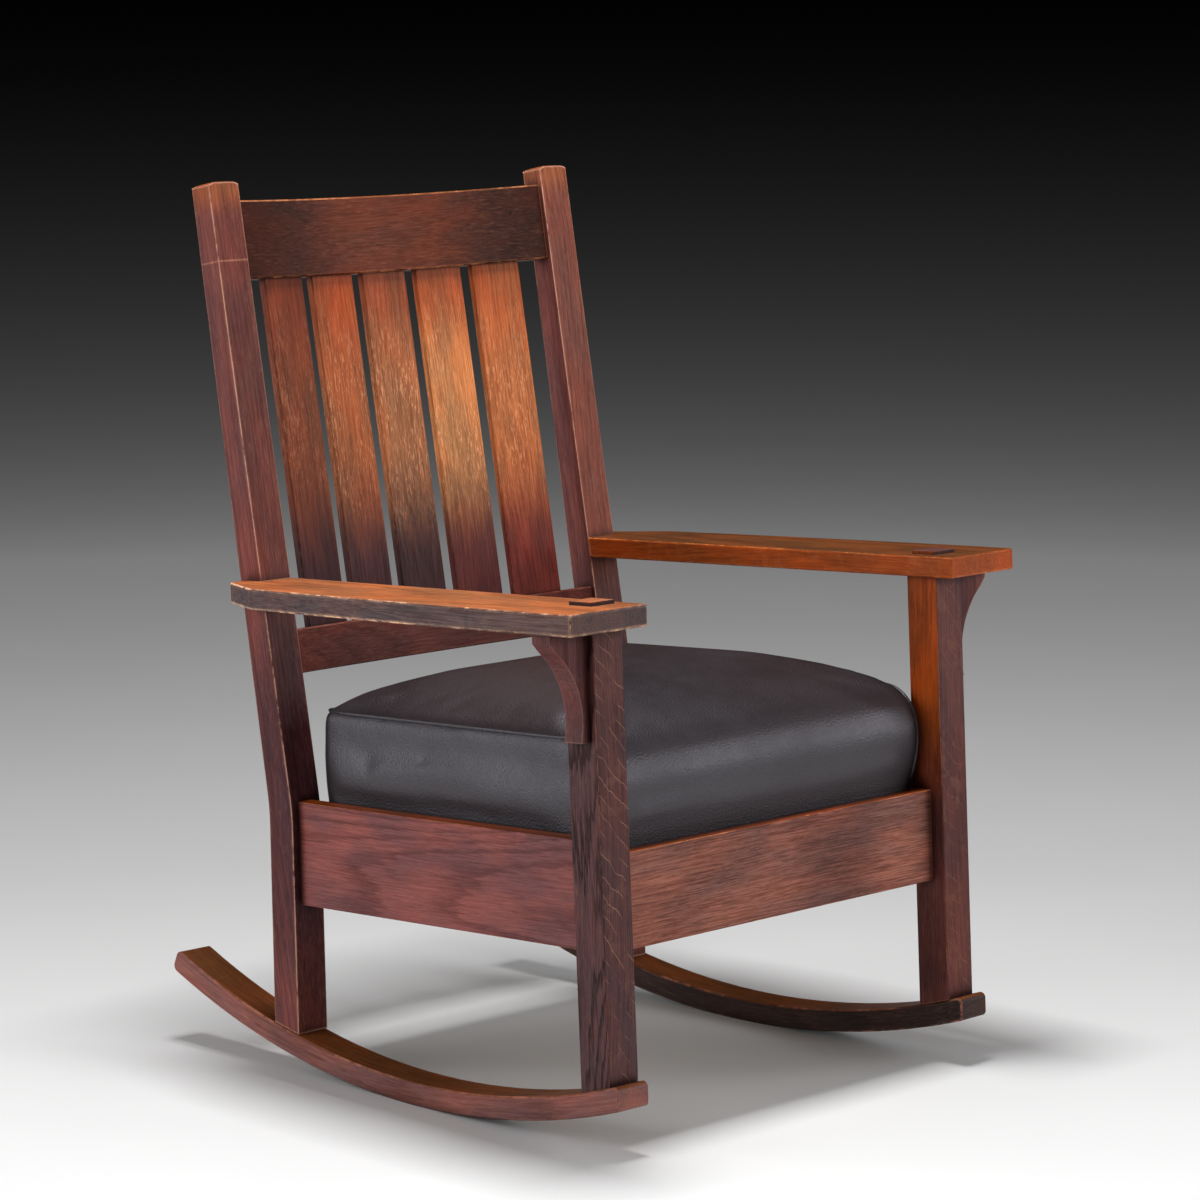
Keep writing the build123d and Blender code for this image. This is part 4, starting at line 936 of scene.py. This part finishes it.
finer.levels = finer.render_levels = 1
apply_modifiers(cushion)
for polygon in cushion.data.polygons:
    polygon.use_smooth = True
print("cushion: faces", len(cushion.data.polygons))

# %% [markdown]
# The cover is sewn from a top panel that rolls over the front, and a strip round the other
# three sides. A piped welt covers the seam: it runs down the front corners too. Points of
# its line are dropped onto the finished leather, so that it lies on the surface.

# %% Welt
WELT_RADIUS = 0.0024
WELT_RAISED = 0.35
SEAM_HEIGHT = 0.3475
SEAT_MIDDLE_Y = 0.26
REAR_CORNER_AIM = (0.16, 0.40)
OUTSIDE = 0.32
FRONT_ROLL = [(0.047, 0.234), (0.039, 0.248), (0.032, 0.266), (0.0285, 0.289), (0.0285, 0.309),
              (0.033, 0.324), (0.042, 0.336), (0.056, 0.3445), (0.075, SEAM_HEIGHT)]
SIDE_LINE_Y = [0.11, 0.16, 0.22, 0.28, 0.34, 0.40, 0.448]
REAR_LINE_X = [0.226, 0.18, 0.12, 0.06, 0.0]

surface = BVHTree.FromObject(cushion, bpy.context.evaluated_depsgraph_get())


def dropped(point, toward):
    """The leather's surface, met from a point outside on the way to another."""
    outside = stance @ Vector(point)
    way = (stance @ Vector(toward) - outside).normalized()
    hit, normal = surface.ray_cast(outside, way)[:2]
    return hit + normal * WELT_RADIUS * WELT_RAISED


side_line = FRONT_ROLL + [(y, SEAM_HEIGHT) for y in SIDE_LINE_Y]
half = [dropped((OUTSIDE, y, z), (0, y, z)) for y, z in side_line]
behind = SEAT_MIDDLE_Y + OUTSIDE
half.append(dropped((OUTSIDE, behind, SEAM_HEIGHT), (*REAR_CORNER_AIM, SEAM_HEIGHT)))
half += [dropped((x, behind, SEAM_HEIGHT), (x, SEAT_MIDDLE_Y, SEAM_HEIGHT)) for x in REAR_LINE_X]
mirror = stance @ Matrix.Diagonal((-1, 1, 1, 1)) @ to_square
path = half + [mirror @ point for point in reversed(half[:-1])]

line = bpy.data.curves.new("seat_welt", "CURVE")
line.dimensions = "3D"
spline = line.splines.new("NURBS")
spline.points.add(len(path) - 1)
for point, place in zip(spline.points, path):
    point.co = (*place, 1)
spline.order_u = 3
spline.use_endpoint_u = True
spline.resolution_u = 6
line.bevel_depth = WELT_RADIUS
line.bevel_resolution = 3
line.use_fill_caps = True
curve_object = bpy.data.objects.new("seat_welt_line", line)
bpy.context.collection.objects.link(curve_object)
bpy.context.view_layer.update()
graph = bpy.context.evaluated_depsgraph_get()
welt_mesh = bpy.data.meshes.new_from_object(curve_object.evaluated_get(graph))
bpy.data.objects.remove(curve_object)
welt = bpy.data.objects.new("seat_welt", welt_mesh)
bpy.context.collection.objects.link(welt)
for polygon in welt_mesh.polygons:
    polygon.use_smooth = True
print("welt: faces", len(welt_mesh.polygons))

# %% [markdown]
# The leather is nearly black with a brown cast and a satin finish. Its grain is a field of
# small pebbles, with faint larger creases where it is stretched over the springs.

# %% Leather
WARP_SCALE, WARP_REACH = 180.0, 0.0015
PEBBLE_SCALE = 520.0
CREASE_SCALE = 60.0
CAST_SCALE = 9.0
LEATHER_SHEEN = 0.8
LEATHER_TINT = (0.91, 0.87, 1.0, 1)

leather, tree, shader = new_material("seat_leather")
place = own_place(tree)
warp = put(tree, "TexNoise", {"Vector": place, "Scale": WARP_SCALE}).outputs["Color"]
warped = vector_calc(tree, "ADD", place, vector_calc(tree, "MULTIPLY", warp, (WARP_REACH,) * 3))
pebbles = put(tree, "TexVoronoi", {"Vector": warped, "Scale": PEBBLE_SCALE},
              feature="SMOOTH_F1").outputs["Distance"]
creases = noise(tree, place, CREASE_SCALE, 4.0, 0.6)
cast = noise(tree, place, CAST_SCALE, 3.0)
base = mix(tree, cast, colour(18, 10, 10), colour(28, 18, 18))
grime = soft_step(tree, pebbles, 0.3, 0.9)
base = mix(tree, calc(tree, "MULTIPLY", grime, 0.4), base, colour(14, 9, 9))
tree.links.new(base, shader.inputs["Base Color"])
rubbed = calc(tree, "ADD", cast, calc(tree, "MULTIPLY", creases, 0.4))
tree.links.new(soft_step(tree, rubbed, 0.4, 1.0, 0.44, 0.56), shader.inputs["Roughness"])
shader.inputs["Specular IOR Level"].default_value = LEATHER_SHEEN
shader.inputs["Specular Tint"].default_value = LEATHER_TINT
relief = calc(tree, "SUBTRACT", calc(tree, "MULTIPLY", creases, 0.5), pebbles)
bump = put(tree, "Bump", {"Height": relief, "Strength": 0.5, "Distance": 0.0008})
tree.links.new(bump.outputs["Normal"], shader.inputs["Normal"])
for piece in (cushion, welt):
    dress(piece, leather)
    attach(piece, "seat")
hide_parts("seat_cushion")
print("leather finished")
